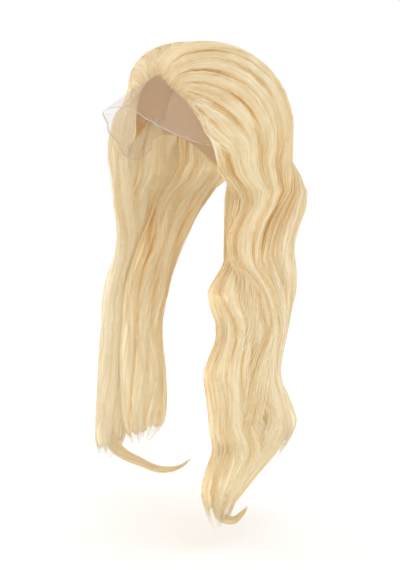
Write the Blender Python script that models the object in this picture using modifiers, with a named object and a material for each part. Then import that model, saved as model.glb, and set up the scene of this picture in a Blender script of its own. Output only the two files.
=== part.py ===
"""Long body-wave lace front wig, held in the shape it has when it is worn.

Metres, +Z up. The wig's front is -Y and its left is +X. The origin is the inner crown of
the cap, the point that the wig rests on. The cap's inner form is an ellipsoid whose widest
level lies FORM_DROP below the origin, and every piece is placed from it.
"""

import math
from dataclasses import dataclass, field

import bmesh
import bpy
from mathutils import Vector

# Half width and half length of the cap's inner form, and its crown's height over the middle
FORM_HALF_WIDTH = 0.075
FORM_HALF_LENGTH = 0.095
FORM_DROP = 0.105

# Walls, and the clearances between layers of hair
LACE_WALL = 0.001
CAP_WALL = 0.0015
HAIR_SEAT = CAP_WALL + 0.0010
LAYER_GAP = 0.0012
RIM_WALL = 0.002
EDGE_HALF = 0.0009
HALF_GAP = 0.0003

# The hair's outer form over the cap is a larger ellipsoid, set back from the inner form
VOLUME_HALF_WIDTH = 0.104
VOLUME_HALF_LENGTH = 0.131
VOLUME_HEIGHT = 0.117
VOLUME_SET_BACK = 0.014

# The hair is thin at the hairline and reaches its full depth about this far behind it
HAIRLINE_LIFT = 0.0040
HAIRLINE_RISE = 0.017

# Turns up to which the hair is swept back; further back it falls over the sides
SWEPT_FROM_RIGHT = 48
SWEPT_FROM_LEFT = 64

# Parting: how far it lies to the left, and its valley, which fades out behind the crown
PARTING_SHIFT = 0.08
PARTING_DEPTH = 0.0045
PARTING_WIDTH = 0.008
PARTING_FADE = 0.05

# Forelock that stands up beside the parting
FORELOCK_TURN = 52
FORELOCK_SPREAD = 22
FORELOCK_TILT = 60

# Level where the crown hair's underside leaves the cap, and its drop below the widest level
SLANT_START = -0.085
DROP_PER_TURN = 0.150

# Height over which a hanging bunch comes out from under the crown hair
ROOT_BLEND = 0.05

# Seam between lace and cap, and how far round the lace and the back rim reach, in degrees
SEAM_TURN = 95
SEAM_SET_BACK = 0.24
LACE_TURN = 78
CAP_RIM_REACH = 82
CAP_STEP_BACK = 0.012

# Hairline: turn from the front towards a side, and tilt from the crown, in degrees
HAIRLINE = (
    # turn, tilt
    (0, 45),
    (15, 50),
    (30, 58),
    (45, 68),
    (54, 78),
    (60, 87),
    (70, 97),
    (80, 99),
)

# Back rim of the cap, the same way
CAP_RIM = (
    # turn, tilt
    (98, 95),
    (110, 97),
    (125, 106),
    (140, 117),
    (160, 126),
    (180, 129),
)

# Free edge of the untrimmed lace, from the right end to the left end
LACE_EDGE = (
    # across, x, y, z
    (-1.00, -0.0715, -0.0220, -0.1340),
    (-0.88, -0.0705, -0.0500, -0.1485),
    (-0.76, -0.0685, -0.0700, -0.1410),
    (-0.64, -0.0630, -0.0920, -0.1230),
    (-0.52, -0.0540, -0.1120, -0.1040),
    (-0.42, -0.0460, -0.1240, -0.0930),
    (-0.32, -0.0380, -0.1300, -0.0800),
    (-0.22, -0.0250, -0.1240, -0.0750),
    (-0.10, -0.0110, -0.1060, -0.0800),
    (0.02, 0.0030, -0.0960, -0.0890),
    (0.20, 0.0200, -0.0930, -0.0970),
    (0.40, 0.0390, -0.0830, -0.1070),
    (0.65, 0.0590, -0.0600, -0.1190),
    (0.85, 0.0690, -0.0380, -0.1250),
    (1.00, 0.0725, -0.0210, -0.1290),
)

# Lower rim of the crown hair: how far below the crown it ends, by turn
CROWN_RIM_LEFT = (
    # turn, z
    (0, -0.0300),
    (15, -0.0360),
    (30, -0.0480),
    (45, -0.0640),
    (54, -0.0820),
    (62, -0.1080),
    (68, -0.1300),
    (80, -0.1450),
    (130, -0.1480),
    (180, -0.1600),
)
CROWN_RIM_RIGHT = (
    # turn, z
    (0, -0.0290),
    (15, -0.0345),
    (30, -0.0440),
    (40, -0.0540),
    (48, -0.0860),
    (53, -0.1280),
    (80, -0.1450),
    (130, -0.1500),
    (180, -0.1600),
)

# Turns of the crown hair's slices, closest where its lower rim drops past the hairline
SLICE_TURNS = (
    0, 12, 24, 33, 39, 43, 46, 49, 52, 56, 62, 70,
    80, 90, 100, 110, 120, 130, 140, 150, 160, 170, 180,
)

TRESS_COLUMNS = ("z", "front_x", "front_y", "back_x", "back_y", "bow", "thick")

# Top hair of the left side, gathered into the front wave lock
FRONT_LEFT = (
    (-0.150, 0.0850, -0.0300, 0.0900, 0.0850, 0.010, 0.018),
    (-0.176, 0.0920, -0.0125, 0.0950, 0.0770, 0.009, 0.020),
    (-0.198, 0.0970, -0.0065, 0.0990, 0.0600, 0.006, 0.020),
    (-0.213, 0.0985, -0.0135, 0.1020, 0.0420, 0.004, 0.020),
    (-0.231, 0.0995, -0.0305, 0.1040, 0.0300, 0.003, 0.020),
    (-0.255, 0.1000, -0.0355, 0.1070, 0.0190, 0.003, 0.021),
    (-0.278, 0.1010, -0.0280, 0.1080, 0.0130, 0.003, 0.022),
    (-0.300, 0.1040, -0.0075, 0.1090, 0.0240, 0.003, 0.024),
    (-0.325, 0.1060, 0.0050, 0.1080, 0.0390, 0.003, 0.028),
    (-0.360, 0.1070, 0.0100, 0.1030, 0.0500, 0.003, 0.034),
    (-0.400, 0.1040, 0.0060, 0.0990, 0.0460, 0.003, 0.034),
    (-0.440, 0.1050, 0.0060, 0.1000, 0.0480, 0.003, 0.038),
    (-0.480, 0.1080, 0.0140, 0.1030, 0.0590, 0.003, 0.038),
    (-0.515, 0.1080, 0.0320, 0.1010, 0.0700, 0.003, 0.030),
    (-0.535, 0.1060, 0.0460, 0.1000, 0.0680, 0.001, 0.012),
)

# Weft hair of the left side: hidden above, then the long S wave that ends lowest
SIDE_LEFT = (
    (-0.190, 0.0800, 0.0040, 0.0800, 0.0500, 0.006, 0.014),
    (-0.230, 0.0800, -0.0100, 0.0820, 0.0300, 0.004, 0.016),
    (-0.265, 0.0790, -0.0170, 0.0800, 0.0140, 0.004, 0.017),
    (-0.290, 0.0810, -0.0300, 0.0820, 0.0060, 0.004, 0.019),
    (-0.314, 0.0890, -0.0590, 0.0880, -0.0030, 0.004, 0.026),
    (-0.334, 0.0950, -0.0600, 0.0950, 0.0000, 0.004, 0.030),
    (-0.360, 0.0980, -0.0510, 0.0970, 0.0050, 0.004, 0.032),
    (-0.378, 0.0990, -0.0530, 0.0980, 0.0040, 0.004, 0.033),
    (-0.398, 0.1000, -0.0640, 0.0990, 0.0010, 0.004, 0.034),
    (-0.420, 0.1000, -0.0740, 0.0990, 0.0000, 0.004, 0.036),
    (-0.448, 0.1000, -0.0710, 0.0990, 0.0010, 0.004, 0.036),
    (-0.472, 0.1000, -0.0680, 0.0990, 0.0060, 0.004, 0.036),
    (-0.500, 0.1000, -0.0660, 0.0990, 0.0160, 0.004, 0.036),
    (-0.524, 0.1000, -0.0570, 0.0980, 0.0340, 0.003, 0.036),
    (-0.541, 0.1000, -0.0660, 0.0980, 0.0380, 0.002, 0.034),
    (-0.562, 0.1000, -0.0790, 0.0980, 0.0190, 0.001, 0.030),
    (-0.582, 0.1000, -0.0820, 0.0980, -0.0060, 0.001, 0.026),
    (-0.604, 0.1000, -0.0750, 0.0980, -0.0280, 0.001, 0.020),
    (-0.622, 0.1000, -0.0670, 0.0985, -0.0340, 0.000, 0.012),
    (-0.632, 0.1000, -0.0600, 0.0990, -0.0430, 0.000, 0.005),
)

# Hair of the left half of the back
BACK_LEFT = (
    (-0.160, 0.0900, 0.0890, 0.0060, 0.1270, 0.020, 0.030),
    (-0.180, 0.0930, 0.0830, 0.0060, 0.1280, 0.021, 0.032),
    (-0.200, 0.0940, 0.0670, 0.0060, 0.1280, 0.024, 0.034),
    (-0.217, 0.0950, 0.0510, 0.0060, 0.1260, 0.027, 0.036),
    (-0.243, 0.0970, 0.0360, 0.0060, 0.1220, 0.026, 0.036),
    (-0.273, 0.0980, 0.0240, 0.0060, 0.1180, 0.026, 0.036),
    (-0.303, 0.0980, 0.0330, 0.0060, 0.1160, 0.026, 0.036),
    (-0.340, 0.0950, 0.0490, 0.0060, 0.1160, 0.024, 0.036),
    (-0.378, 0.0900, 0.0560, 0.0060, 0.1120, 0.020, 0.036),
    (-0.404, 0.0870, 0.0520, 0.0060, 0.1040, 0.018, 0.036),
    (-0.430, 0.0860, 0.0520, 0.0060, 0.0960, 0.014, 0.036),
    (-0.450, 0.0880, 0.0540, 0.0060, 0.0930, 0.014, 0.038),
    (-0.473, 0.0920, 0.0600, 0.0060, 0.0970, 0.018, 0.040),
    (-0.499, 0.0920, 0.0690, 0.0060, 0.1040, 0.022, 0.040),
    (-0.520, 0.0880, 0.0770, 0.0080, 0.1040, 0.020, 0.036),
    (-0.545, 0.0820, 0.0820, 0.0180, 0.1000, 0.014, 0.026),
    (-0.565, 0.0700, 0.0860, 0.0300, 0.0940, 0.006, 0.012),
)

# Hair of the right half of the back, which hangs straight down
BACK_RIGHT = (
    (-0.165, -0.0060, 0.1270, -0.0560, 0.1100, 0.006, 0.030),
    (-0.200, -0.0060, 0.1280, -0.0560, 0.1080, 0.006, 0.032),
    (-0.243, -0.0060, 0.1220, -0.0540, 0.1020, 0.006, 0.034),
    (-0.300, -0.0060, 0.1150, -0.0500, 0.0960, 0.006, 0.034),
    (-0.360, -0.0060, 0.1150, -0.0480, 0.0980, 0.006, 0.034),
    (-0.420, -0.0060, 0.0960, -0.0460, 0.0860, 0.005, 0.034),
    (-0.470, -0.0060, 0.0960, -0.0460, 0.0860, 0.005, 0.034),
    (-0.515, -0.0060, 0.1040, -0.0440, 0.0920, 0.005, 0.030),
    (-0.545, -0.0080, 0.1020, -0.0360, 0.0940, 0.003, 0.020),
    (-0.560, -0.0120, 0.0980, -0.0280, 0.0940, 0.001, 0.008),
)

# Lower hair of the right side, drawn forward from the nape
NAPE_RIGHT = (
    (-0.160, -0.1020, 0.0380, -0.0700, 0.1050, 0.012, 0.024),
    (-0.200, -0.0960, 0.0120, -0.0780, 0.0900, 0.010, 0.024),
    (-0.250, -0.0840, -0.0280, -0.0860, 0.0600, 0.006, 0.026),
    (-0.300, -0.0770, -0.0530, -0.0900, 0.0350, 0.004, 0.027),
    (-0.350, -0.0750, -0.0680, -0.0890, 0.0130, 0.004, 0.028),
    (-0.400, -0.0750, -0.0720, -0.0870, 0.0060, 0.004, 0.028),
    (-0.450, -0.0750, -0.0740, -0.0860, 0.0100, 0.004, 0.028),
    (-0.500, -0.0750, -0.0720, -0.0850, 0.0120, 0.004, 0.028),
    (-0.535, -0.0770, -0.0650, -0.0850, 0.0040, 0.004, 0.020),
    (-0.552, -0.0790, -0.0560, -0.0860, -0.0190, 0.002, 0.009),
)

# Top hair of the right side, which hangs furthest forward
FRONT_RIGHT = (
    (-0.135, -0.0850, -0.0660, -0.1080, 0.0320, 0.012, 0.020),
    (-0.177, -0.0860, -0.0700, -0.1120, 0.0320, 0.010, 0.020),
    (-0.204, -0.0880, -0.0700, -0.1130, 0.0260, 0.008, 0.020),
    (-0.226, -0.0890, -0.0660, -0.1130, 0.0160, 0.006, 0.020),
    (-0.257, -0.0920, -0.0630, -0.1120, 0.0000, 0.004, 0.022),
    (-0.293, -0.0950, -0.0700, -0.1110, -0.0170, 0.004, 0.022),
    (-0.319, -0.0970, -0.0780, -0.1090, -0.0260, 0.004, 0.024),
    (-0.354, -0.0990, -0.0850, -0.1070, -0.0340, 0.004, 0.026),
    (-0.407, -0.1000, -0.0880, -0.1060, -0.0410, 0.004, 0.028),
    (-0.449, -0.1000, -0.0920, -0.1050, -0.0430, 0.004, 0.028),
    (-0.483, -0.0990, -0.0980, -0.1040, -0.0450, 0.004, 0.028),
    (-0.510, -0.0990, -0.0975, -0.1040, -0.0460, 0.004, 0.028),
    (-0.537, -0.0980, -0.1020, -0.1020, -0.0510, 0.002, 0.026),
    (-0.556, -0.0970, -0.1010, -0.0990, -0.0640, 0.001, 0.018),
    (-0.566, -0.0960, -0.0980, -0.0970, -0.0740, 0.000, 0.008),
)

WISP_COLUMNS = ("x", "y", "z", "radius")

# Thin curl under the right bunch, swept round towards the front
RIGHT_WISP = (
    (-0.0950, -0.0840, -0.5350, 0.0045),
    (-0.0880, -0.0790, -0.5520, 0.0055),
    (-0.0740, -0.0700, -0.5640, 0.0050),
    (-0.0580, -0.0580, -0.5720, 0.0044),
    (-0.0430, -0.0410, -0.5820, 0.0038),
    (-0.0290, -0.0250, -0.5830, 0.0032),
    (-0.0180, -0.0130, -0.5770, 0.0024),
    (-0.0090, -0.0030, -0.5640, 0.0012),
)

# Hook at the tip of the long left lock
LEFT_HOOK = (
    (0.0990, -0.0600, -0.5980, 0.0050),
    (0.0990, -0.0460, -0.6180, 0.0070),
    (0.0990, -0.0260, -0.6270, 0.0055),
    (0.0990, -0.0100, -0.6220, 0.0036),
    (0.0990, 0.0030, -0.6130, 0.0012),
)


def interpolate(rows, position, column):
    """Smooth curve through one column of a table whose first column runs one way."""
    rising = rows[-1][0] > rows[0][0]
    keys = [row[0] if rising else -row[0] for row in rows]
    at = position if rising else -position
    at = min(max(at, keys[0]), keys[-1])
    index = next(i for i in range(len(keys) - 1) if at <= keys[i + 1])
    values = [row[column] for row in rows]

    def slope(i):
        low, high = max(i - 1, 0), min(i + 1, len(keys) - 1)
        return (values[high] - values[low]) / (keys[high] - keys[low])

    span = keys[index + 1] - keys[index]
    t = (at - keys[index]) / span
    start, end = values[index], values[index + 1]
    return (
        (2 * t**3 - 3 * t**2 + 1) * start
        + (t**3 - 2 * t**2 + t) * span * slope(index)
        + (3 * t**2 - 2 * t**3) * end
        + (t**3 - t**2) * span * slope(index + 1)
    )


def smooth_step(t):
    t = min(max(t, 0.0), 1.0)
    return t * t * (3 - 2 * t)


def form_direction(turn, tilt):
    """Unit direction from the inner form's centre, by degrees of turn and tilt."""
    turn, tilt = math.radians(turn), math.radians(tilt)
    return Vector(
        (
            math.sin(tilt) * math.sin(turn),
            -math.sin(tilt) * math.cos(turn),
            math.cos(tilt),
        )
    )


def parted_direction(turn, tilt):
    """As form_direction, with the crown moved over to the parting."""
    direction = form_direction(turn, tilt)
    direction.x += PARTING_SHIFT * math.sqrt(max(direction.z, 0.0))
    return direction.normalized()


def form_reach(direction):
    """Step from the inner form's centre to its surface."""
    return Vector(
        (
            direction.x * FORM_HALF_WIDTH,
            direction.y * FORM_HALF_LENGTH,
            direction.z * FORM_DROP,
        )
    )


def on_form(direction, lift=0.0):
    """Point over the inner form along a direction from its centre."""
    reach = form_reach(direction)
    return FORM_CENTRE + reach * (1 + lift / reach.length)


def level_run(z):
    """Run of a crown slice at a level: 1 at the form's widest level, more below it."""
    if z > -FORM_DROP:
        return math.acos(1 + z / FORM_DROP) / (math.pi / 2)
    return 1 + (-FORM_DROP - z) / DROP_PER_TURN


FORM_CENTRE = Vector((0, 0, -FORM_DROP))
HAIRLINE_POINTS = [
    on_form(form_direction(t, interpolate(HAIRLINE, abs(t), 1)))
    for t in range(-SWEPT_FROM_RIGHT, SWEPT_FROM_LEFT + 1, 4)
]


def volume_lift(direction):
    """How far the hair's full outer form stands off the inner form along a direction."""
    reach = form_reach(direction)
    ray = reach.normalized()
    scale = Vector(
        (1 / VOLUME_HALF_WIDTH, 1 / VOLUME_HALF_LENGTH, 1 / VOLUME_HEIGHT)
    )
    step = ray * scale
    start = Vector((0, -VOLUME_SET_BACK, 0)) * scale
    a, b, c = step.dot(step), 2 * start.dot(step), start.dot(start) - 1
    return (-b + math.sqrt(b * b - 4 * a * c)) / (2 * a) - reach.length


@dataclass
class Crown:
    """Hair of one side over the cap, from the parting down to its lower rim."""

    name: str
    side: int
    rim: tuple
    forelock: float
    start: float = 0.012
    steps: int = 11

    def tilt_of(self, run):
        return 90.0 * min(run, 1.0)

    def rim_run(self, turn):
        """Length of a slice, as a run."""
        return level_run(interpolate(self.rim, turn, 1))

    def outer(self, turn, run):
        """Point of the outer surface."""
        tilt = self.tilt_of(run)
        direction = parted_direction(self.side * turn, tilt)
        foot = on_form(direction)
        drop = max(run - 1, 0.0) * DROP_PER_TURN
        near = min((foot + Vector((0, 0, -drop)) - h).length for h in HAIRLINE_POINTS)
        rise = 1 - math.exp(-near / HAIRLINE_RISE)
        lift = volume_lift(direction)
        round_forelock = math.exp(-(((turn - FORELOCK_TURN) / FORELOCK_SPREAD) ** 2))
        lift += self.forelock * round_forelock * smooth_step(tilt / FORELOCK_TILT)
        lift = HAIRLINE_LIFT + (lift - HAIRLINE_LIFT) * rise
        beside = abs(math.sin(math.radians(turn))) * foot.xy.length
        valley = math.exp(-((beside / PARTING_WIDTH) ** 2))
        fade = smooth_step((PARTING_FADE - foot.y) / PARTING_FADE)
        lift -= PARTING_DEPTH * valley * fade * rise
        return on_form(direction, lift) + Vector((0, 0, -drop))

    def seat(self, turn, run):
        """Point just clear of the cap, or straight below its widest level."""
        drop = max(run - 1, 0.0) * DROP_PER_TURN
        foot = on_form(parted_direction(self.side * turn, self.tilt_of(run)), HAIR_SEAT)
        return foot + Vector((0, 0, -drop))

    def inner(self, turn, run):
        """Point of the inner surface: on the cap, then slanting out to the rim."""
        end = self.rim_run(turn)
        leave = min(level_run(SLANT_START), interpolate(HAIRLINE, min(turn, 80), 1) / 90)
        leave = min(leave, end - 0.05)
        seat = self.seat(turn, run)
        if run <= leave:
            return seat
        depth = self.outer(turn, run) - seat
        share = ((run - leave) / (end - leave)) ** 1.3
        return seat + depth * share * max(1 - RIM_WALL / depth.length, 0.3)

    def build(self, material):
        outer, inner = [], []
        for turn in SLICE_TURNS:
            end = self.rim_run(turn)
            step = (end - self.start) / self.steps
            runs = [self.start + step * i for i in range(self.steps + 1)]
            shift = Vector((self.side * HALF_GAP, 0, 0))
            outer.append([self.outer(turn, run) + shift for run in runs])
            inner.append([self.inner(turn, run) + shift for run in runs])
        return slab(self.name, outer, inner, material)


@dataclass
class Tress:
    """A hanging bunch of hair: rooted on the cap, then following its table."""

    name: str
    rows: tuple
    crown: Crown
    root_front: float
    root_back: float
    root_inner: float = 0.0
    root_outer: float = 1.0
    top: float = -0.100
    lobes: int = 3
    lobe_depth: float = 0.12
    lobe_twist: float = 9.0
    ragged: float = 0.010
    stations: int = 23
    across: int = 10
    extras: list = field(default_factory=list)

    def rooted(self, u, side, z):
        """Point in the zone tucked under the crown hair. side is 0 inside, 1 outside."""
        turn = abs(self.root_front + (self.root_back - self.root_front) * u)
        run = min(level_run(z), self.crown.rim_run(turn))
        seat = self.crown.seat(turn, run)
        depth = self.crown.inner(turn, run) - seat
        room = max(depth.length - LAYER_GAP, 0.5 * depth.length)
        share = self.root_inner + (self.root_outer - self.root_inner) * side
        point = seat + depth.normalized() * room * share
        return Vector((point.x, point.y, z))

    def hanging(self, u, side, z):
        """Point in the free zone, from the table's row at this level."""
        value = {c: interpolate(self.rows, z, i) for i, c in enumerate(TRESS_COLUMNS)}
        front = Vector((value["front_x"], value["front_y"], z))
        back = Vector((value["back_x"], value["back_y"], z))
        along = back - front
        outward = Vector((along.y, -along.x, 0)).normalized()
        middle = (front + back) / 2
        if outward.dot(Vector((middle.x, middle.y, 0))) < 0:
            outward = -outward
        spread = 1 - abs(2 * u - 1) ** 2.4
        half = EDGE_HALF + (value["thick"] / 2 - EDGE_HALF) * max(spread, 0.0) ** 0.6
        if side > 0.5:
            turn = 2 * math.pi * self.lobes * u + self.lobe_twist * z
            half *= 1 - self.lobe_depth * (0.5 + 0.5 * math.cos(turn))
        bow = value["bow"] * 4 * u * (1 - u)
        return front + along * u + outward * (bow + (half if side > 0.5 else -half))

    def point(self, u, side, z):
        turn = self.root_front + (self.root_back - self.root_front) * u
        edge = interpolate(self.crown.rim, abs(turn), 1)
        share = smooth_step((edge - RIM_WALL - z) / ROOT_BLEND)
        if share <= 0:
            return self.rooted(u, side, z)
        if share >= 1:
            return self.hanging(u, side, z)
        return self.rooted(u, side, z).lerp(self.hanging(u, side, z), share)

    def build(self, material):
        bottom = self.rows[-1][0]
        outer, inner = [], []
        for j in range(self.stations + 1):
            s = j / self.stations
            line_outer, line_inner = [], []
            for i in range(self.across + 1):
                u = i / self.across
                rag = self.ragged * (0.5 + 0.5 * math.cos(2 * math.pi * self.lobes * u))
                end = bottom + rag * s**4
                z = self.top + (end - self.top) * s
                line_outer.append(self.point(u, 1, z))
                line_inner.append(self.point(u, 0, z))
            outer.append(line_outer)
            inner.append(line_inner)
        body = slab(self.name, outer, inner, material)
        for wisp in self.extras:
            fuse(body, tapered_tube(self.name + "_wisp", wisp))
        return body


def new_object(name, mesh, material, collection):
    made = bpy.data.objects.new(name, mesh)
    collection.objects.link(made)
    if material:
        mesh.materials.append(material)
    return made


def slab(name, outer, inner, material):
    """Closed wall between two grids of points with the same rows and columns."""
    rows, columns = len(outer), len(outer[0])
    mesh = bpy.data.meshes.new(name)
    shape = bmesh.new()
    rims = []
    for grid in (outer, inner):
        made = bmesh.ops.create_grid(shape, x_segments=columns - 1, y_segments=rows - 1, size=1)
        corners = sorted(made["verts"], key=lambda v: (round(v.co.y, 5), round(v.co.x, 5)))
        for index, corner in enumerate(corners):
            corner.co = grid[index // columns][index % columns]
        faces = {f for v in made["verts"] for f in v.link_faces}
        rims += [e for f in faces for e in f.edges if len(e.link_faces) == 1]
    bmesh.ops.bridge_loops(shape, edges=list(dict.fromkeys(rims)))
    bmesh.ops.recalc_face_normals(shape, faces=shape.faces)
    shape.to_mesh(mesh)
    shape.free()
    mesh.shade_smooth()
    mesh.set_sharp_from_angle(angle=math.radians(50))
    return new_object(name, mesh, material, PARTS)


def sheet(name, points, wall, material):
    """Thin wall on the outer side of one grid of points."""
    rows, columns = len(points), len(points[0])
    mesh = bpy.data.meshes.new(name)
    shape = bmesh.new()
    bmesh.ops.create_grid(shape, x_segments=columns - 1, y_segments=rows - 1, size=1)
    corners = sorted(shape.verts, key=lambda v: (round(v.co.y, 5), round(v.co.x, 5)))
    for index, corner in enumerate(corners):
        corner.co = points[index // columns][index % columns]
    bmesh.ops.recalc_face_normals(shape, faces=shape.faces)
    shape.normal_update()
    middle = max(shape.faces, key=lambda f: f.calc_center_median().z)
    if middle.normal.z < 0:
        bmesh.ops.reverse_faces(shape, faces=shape.faces)
    shape.to_mesh(mesh)
    shape.free()
    mesh.shade_smooth()
    made = new_object(name, mesh, material, PARTS)
    wall_of = made.modifiers.new("wall", "SOLIDIFY")
    wall_of.thickness = wall
    wall_of.offset = 1
    return made


def tapered_tube(name, rows):
    """Thin lock swept along a table of points, as a closed mesh."""
    curve = bpy.data.curves.new(name, "CURVE")
    curve.dimensions = "3D"
    curve.bevel_depth = 1.0
    curve.bevel_resolution = 1
    curve.use_fill_caps = True
    line = curve.splines.new("POLY")
    steps = 3
    last = len(rows) - 1
    numbered = [(i, *row) for i, row in enumerate(rows)]
    count = last * steps + 1
    line.points.add(count - 1)
    for i in range(count):
        at = i / steps
        x, y, z, radius = (interpolate(numbered, at, c + 1) for c in range(len(WISP_COLUMNS)))
        line.points[i].co = (x, y, z, 1)
        line.points[i].radius = radius
    holder = bpy.data.objects.new(name + "_curve", curve)
    CUTTERS.objects.link(holder)
    bpy.context.view_layer.update()
    evaluated = holder.evaluated_get(bpy.context.evaluated_depsgraph_get())
    mesh = bpy.data.meshes.new_from_object(evaluated)
    bpy.data.objects.remove(holder)
    shape = bmesh.new()
    shape.from_mesh(mesh)
    bmesh.ops.remove_doubles(shape, verts=shape.verts, dist=0.00005)
    bmesh.ops.recalc_face_normals(shape, faces=shape.faces)
    shape.to_mesh(mesh)
    shape.free()
    made = new_object(name, mesh, None, CUTTERS)
    made.hide_render = True
    made.display_type = "WIRE"
    return made


def fuse(body, other):
    join = body.modifiers.new("fuse_" + other.name, "BOOLEAN")
    join.operation = "UNION"
    join.solver = "EXACT"
    join.object = other


def finish_material(name, colour, roughness, alpha=1.0):
    made = bpy.data.materials.new(name)
    made.use_nodes = True
    shader = made.node_tree.nodes["Principled BSDF"]
    shader.inputs["Base Color"].default_value = (*colour, 1)
    shader.inputs["Roughness"].default_value = roughness
    shader.inputs["Alpha"].default_value = alpha
    made.diffuse_color = (*colour, alpha)
    return made


def seam_direction(share):
    """Seam between lace and cap, over the crown from side to side."""
    angle = math.radians(SEAM_TURN * share)
    level = max(math.cos(angle), 0.0)
    return Vector((math.sin(angle), SEAM_SET_BACK * level, math.cos(angle))).normalized()


def between(a, b, t):
    return (a * (1 - t) + b * t).normalized()


def lace_front(material):
    """Lace panel from the seam to the hairline, with its untrimmed margin beyond."""
    columns, inner_rows, margin_rows = 28, 6, 6
    points = []
    for j in range(columns + 1):
        share = 2 * j / columns - 1
        seam = seam_direction(share)
        turn = LACE_TURN * share
        hairline = form_direction(turn, interpolate(HAIRLINE, abs(turn), 1))
        edge = Vector([interpolate(LACE_EDGE, share, c) for c in (1, 2, 3)])
        from_centre = edge - FORM_CENTRE
        edge_direction = Vector(
            (
                from_centre.x / FORM_HALF_WIDTH,
                from_centre.y / FORM_HALF_LENGTH,
                from_centre.z / FORM_DROP,
            )
        ).normalized()
        edge_lift = from_centre.length - form_reach(edge_direction).length
        line = [on_form(between(seam, hairline, i / inner_rows)) for i in range(inner_rows + 1)]
        flare = 1.25 + 0.9 * smooth_step((-0.35 - share) / 0.25)
        for i in range(1, margin_rows + 1):
            t = i / margin_rows
            line.append(on_form(between(hairline, edge_direction, t), edge_lift * t**flare))
        points.append(line)
    return sheet("lace_front", points, LACE_WALL, material)


def cap_net(material):
    """Cap behind the lace, from the seam back to the nape."""
    columns, rows = 26, 9
    points = []
    for j in range(columns + 1):
        share = 2 * j / columns - 1
        seam = seam_direction(share)
        back = (seam + Vector((0, CAP_STEP_BACK, 0))).normalized()
        turn = 180 - CAP_RIM_REACH * abs(share)
        rim = form_direction(math.copysign(turn, share), interpolate(CAP_RIM, turn, 1))
        line = [on_form(between(back, rim, i / rows)) for i in range(rows + 1)]
        points.append(line)
    return sheet("cap_net", points, CAP_WALL, material)


def make_collection(name):
    made = bpy.data.collections.new(name)
    bpy.context.scene.collection.children.link(made)
    return made


def main():
    lace = finish_material("lace", (0.86, 0.78, 0.72), 0.6, 0.4)
    net = finish_material("cap_net", (0.80, 0.68, 0.52), 0.7)
    hair = finish_material("blonde_hair", (0.88, 0.74, 0.47), 0.42)
    lace_front(lace)
    cap_net(net)
    left = Crown("crown_hair_left", 1, CROWN_RIM_LEFT, forelock=0.0)
    right = Crown("crown_hair_right", -1, CROWN_RIM_RIGHT, forelock=0.017)
    left.build(hair)
    right.build(hair)
    tresses = (
        Tress("front_tress_left", FRONT_LEFT, left, 71, 129, root_inner=0.55),
        Tress(
            "side_tress_left", SIDE_LEFT, left, 74, 126, root_outer=0.35,
            stations=30, lobes=2, extras=[LEFT_HOOK],
        ),
        Tress("back_tress_left", BACK_LEFT, left, 130.5, 179.2, lobes=5),
        Tress("back_tress_right", BACK_RIGHT, right, -179.2, -153, lobes=3),
        Tress("nape_tress_right", NAPE_RIGHT, right, -109, -152, lobes=3),
        Tress(
            "front_tress_right", FRONT_RIGHT, right, -55, -107.5,
            root_inner=0.66, lobes=3, extras=[RIGHT_WISP],
        ),
    )
    for tress in tresses:
        tress.build(hair)


for old in list(bpy.data.objects):
    bpy.data.objects.remove(old)
PARTS = make_collection("lace_front_wig")
CUTTERS = make_collection("fused_shapes")
main()
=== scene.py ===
"""Looks of a long blonde body-wave lace front wig in its worn shape.

Metres, +Z up. The hairline is towards -Y and the left side is +X. The origin is the inner
crown of the cap. Each lock of hair is a solid core with relief, covered by fine strands
that run from the hairline or the parting, over the crown and down the lock to its tip.
"""

import logging
import math
from dataclasses import dataclass, field
from enum import Enum

import bpy
import numpy as np
from mathutils import Matrix, Vector

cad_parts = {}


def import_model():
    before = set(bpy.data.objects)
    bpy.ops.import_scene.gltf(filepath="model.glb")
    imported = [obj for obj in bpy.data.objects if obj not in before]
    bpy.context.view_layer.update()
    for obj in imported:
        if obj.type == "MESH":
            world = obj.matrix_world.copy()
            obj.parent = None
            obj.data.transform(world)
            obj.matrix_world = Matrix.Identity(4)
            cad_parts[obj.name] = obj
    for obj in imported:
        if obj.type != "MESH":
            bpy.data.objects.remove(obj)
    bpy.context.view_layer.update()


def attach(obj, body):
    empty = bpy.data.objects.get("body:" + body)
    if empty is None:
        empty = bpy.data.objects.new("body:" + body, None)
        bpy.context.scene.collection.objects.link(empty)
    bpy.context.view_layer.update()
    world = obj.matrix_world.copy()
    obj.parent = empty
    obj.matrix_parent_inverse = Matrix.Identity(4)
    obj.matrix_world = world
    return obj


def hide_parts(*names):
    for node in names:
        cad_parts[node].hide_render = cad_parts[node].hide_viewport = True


LOG = logging.getLogger("lace_front_wig")

# Half sizes of the cap's inner form and of the hair's outer form, which is set back from it
FORM_SIZE = np.array([0.075, 0.095, 0.105])
FORM_CENTRE = np.array([0, 0, -FORM_SIZE[2]])
VOLUME_SIZE = np.array([0.104, 0.131, 0.117])
VOLUME_SET_BACK = 0.014
HAIR_SEAT = 0.0025

# Parting: how far it lies to the left, and its valley, which fades out behind the crown
PARTING_SHIFT = 0.08
PARTING_DEPTH = 0.0045
PARTING_WIDTH = 0.008
PARTING_FADE = 0.05

# Forelock beside the parting, in degrees
FORELOCK_TURN = 52
FORELOCK_SPREAD = 22
FORELOCK_TILT = 60

# The hair is thin at the hairline and reaches its full depth about this far behind it
HAIRLINE_LIFT = 0.0036
HAIRLINE_RISE = 0.017

# Turns up to which the hair is swept back
SWEPT_FROM_RIGHT = 48
SWEPT_FROM_LEFT = 64

# Underside of the crown hair, and how the hanging locks come out from under it
SLANT_START = -0.085
DROP_PER_TURN = 0.150
RIM_WALL = 0.002
LAYER_GAP = 0.0012
ROOT_TUCK = 0.002
ROOT_BLEND = 0.05
EDGE_HALF = 0.0009

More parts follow.
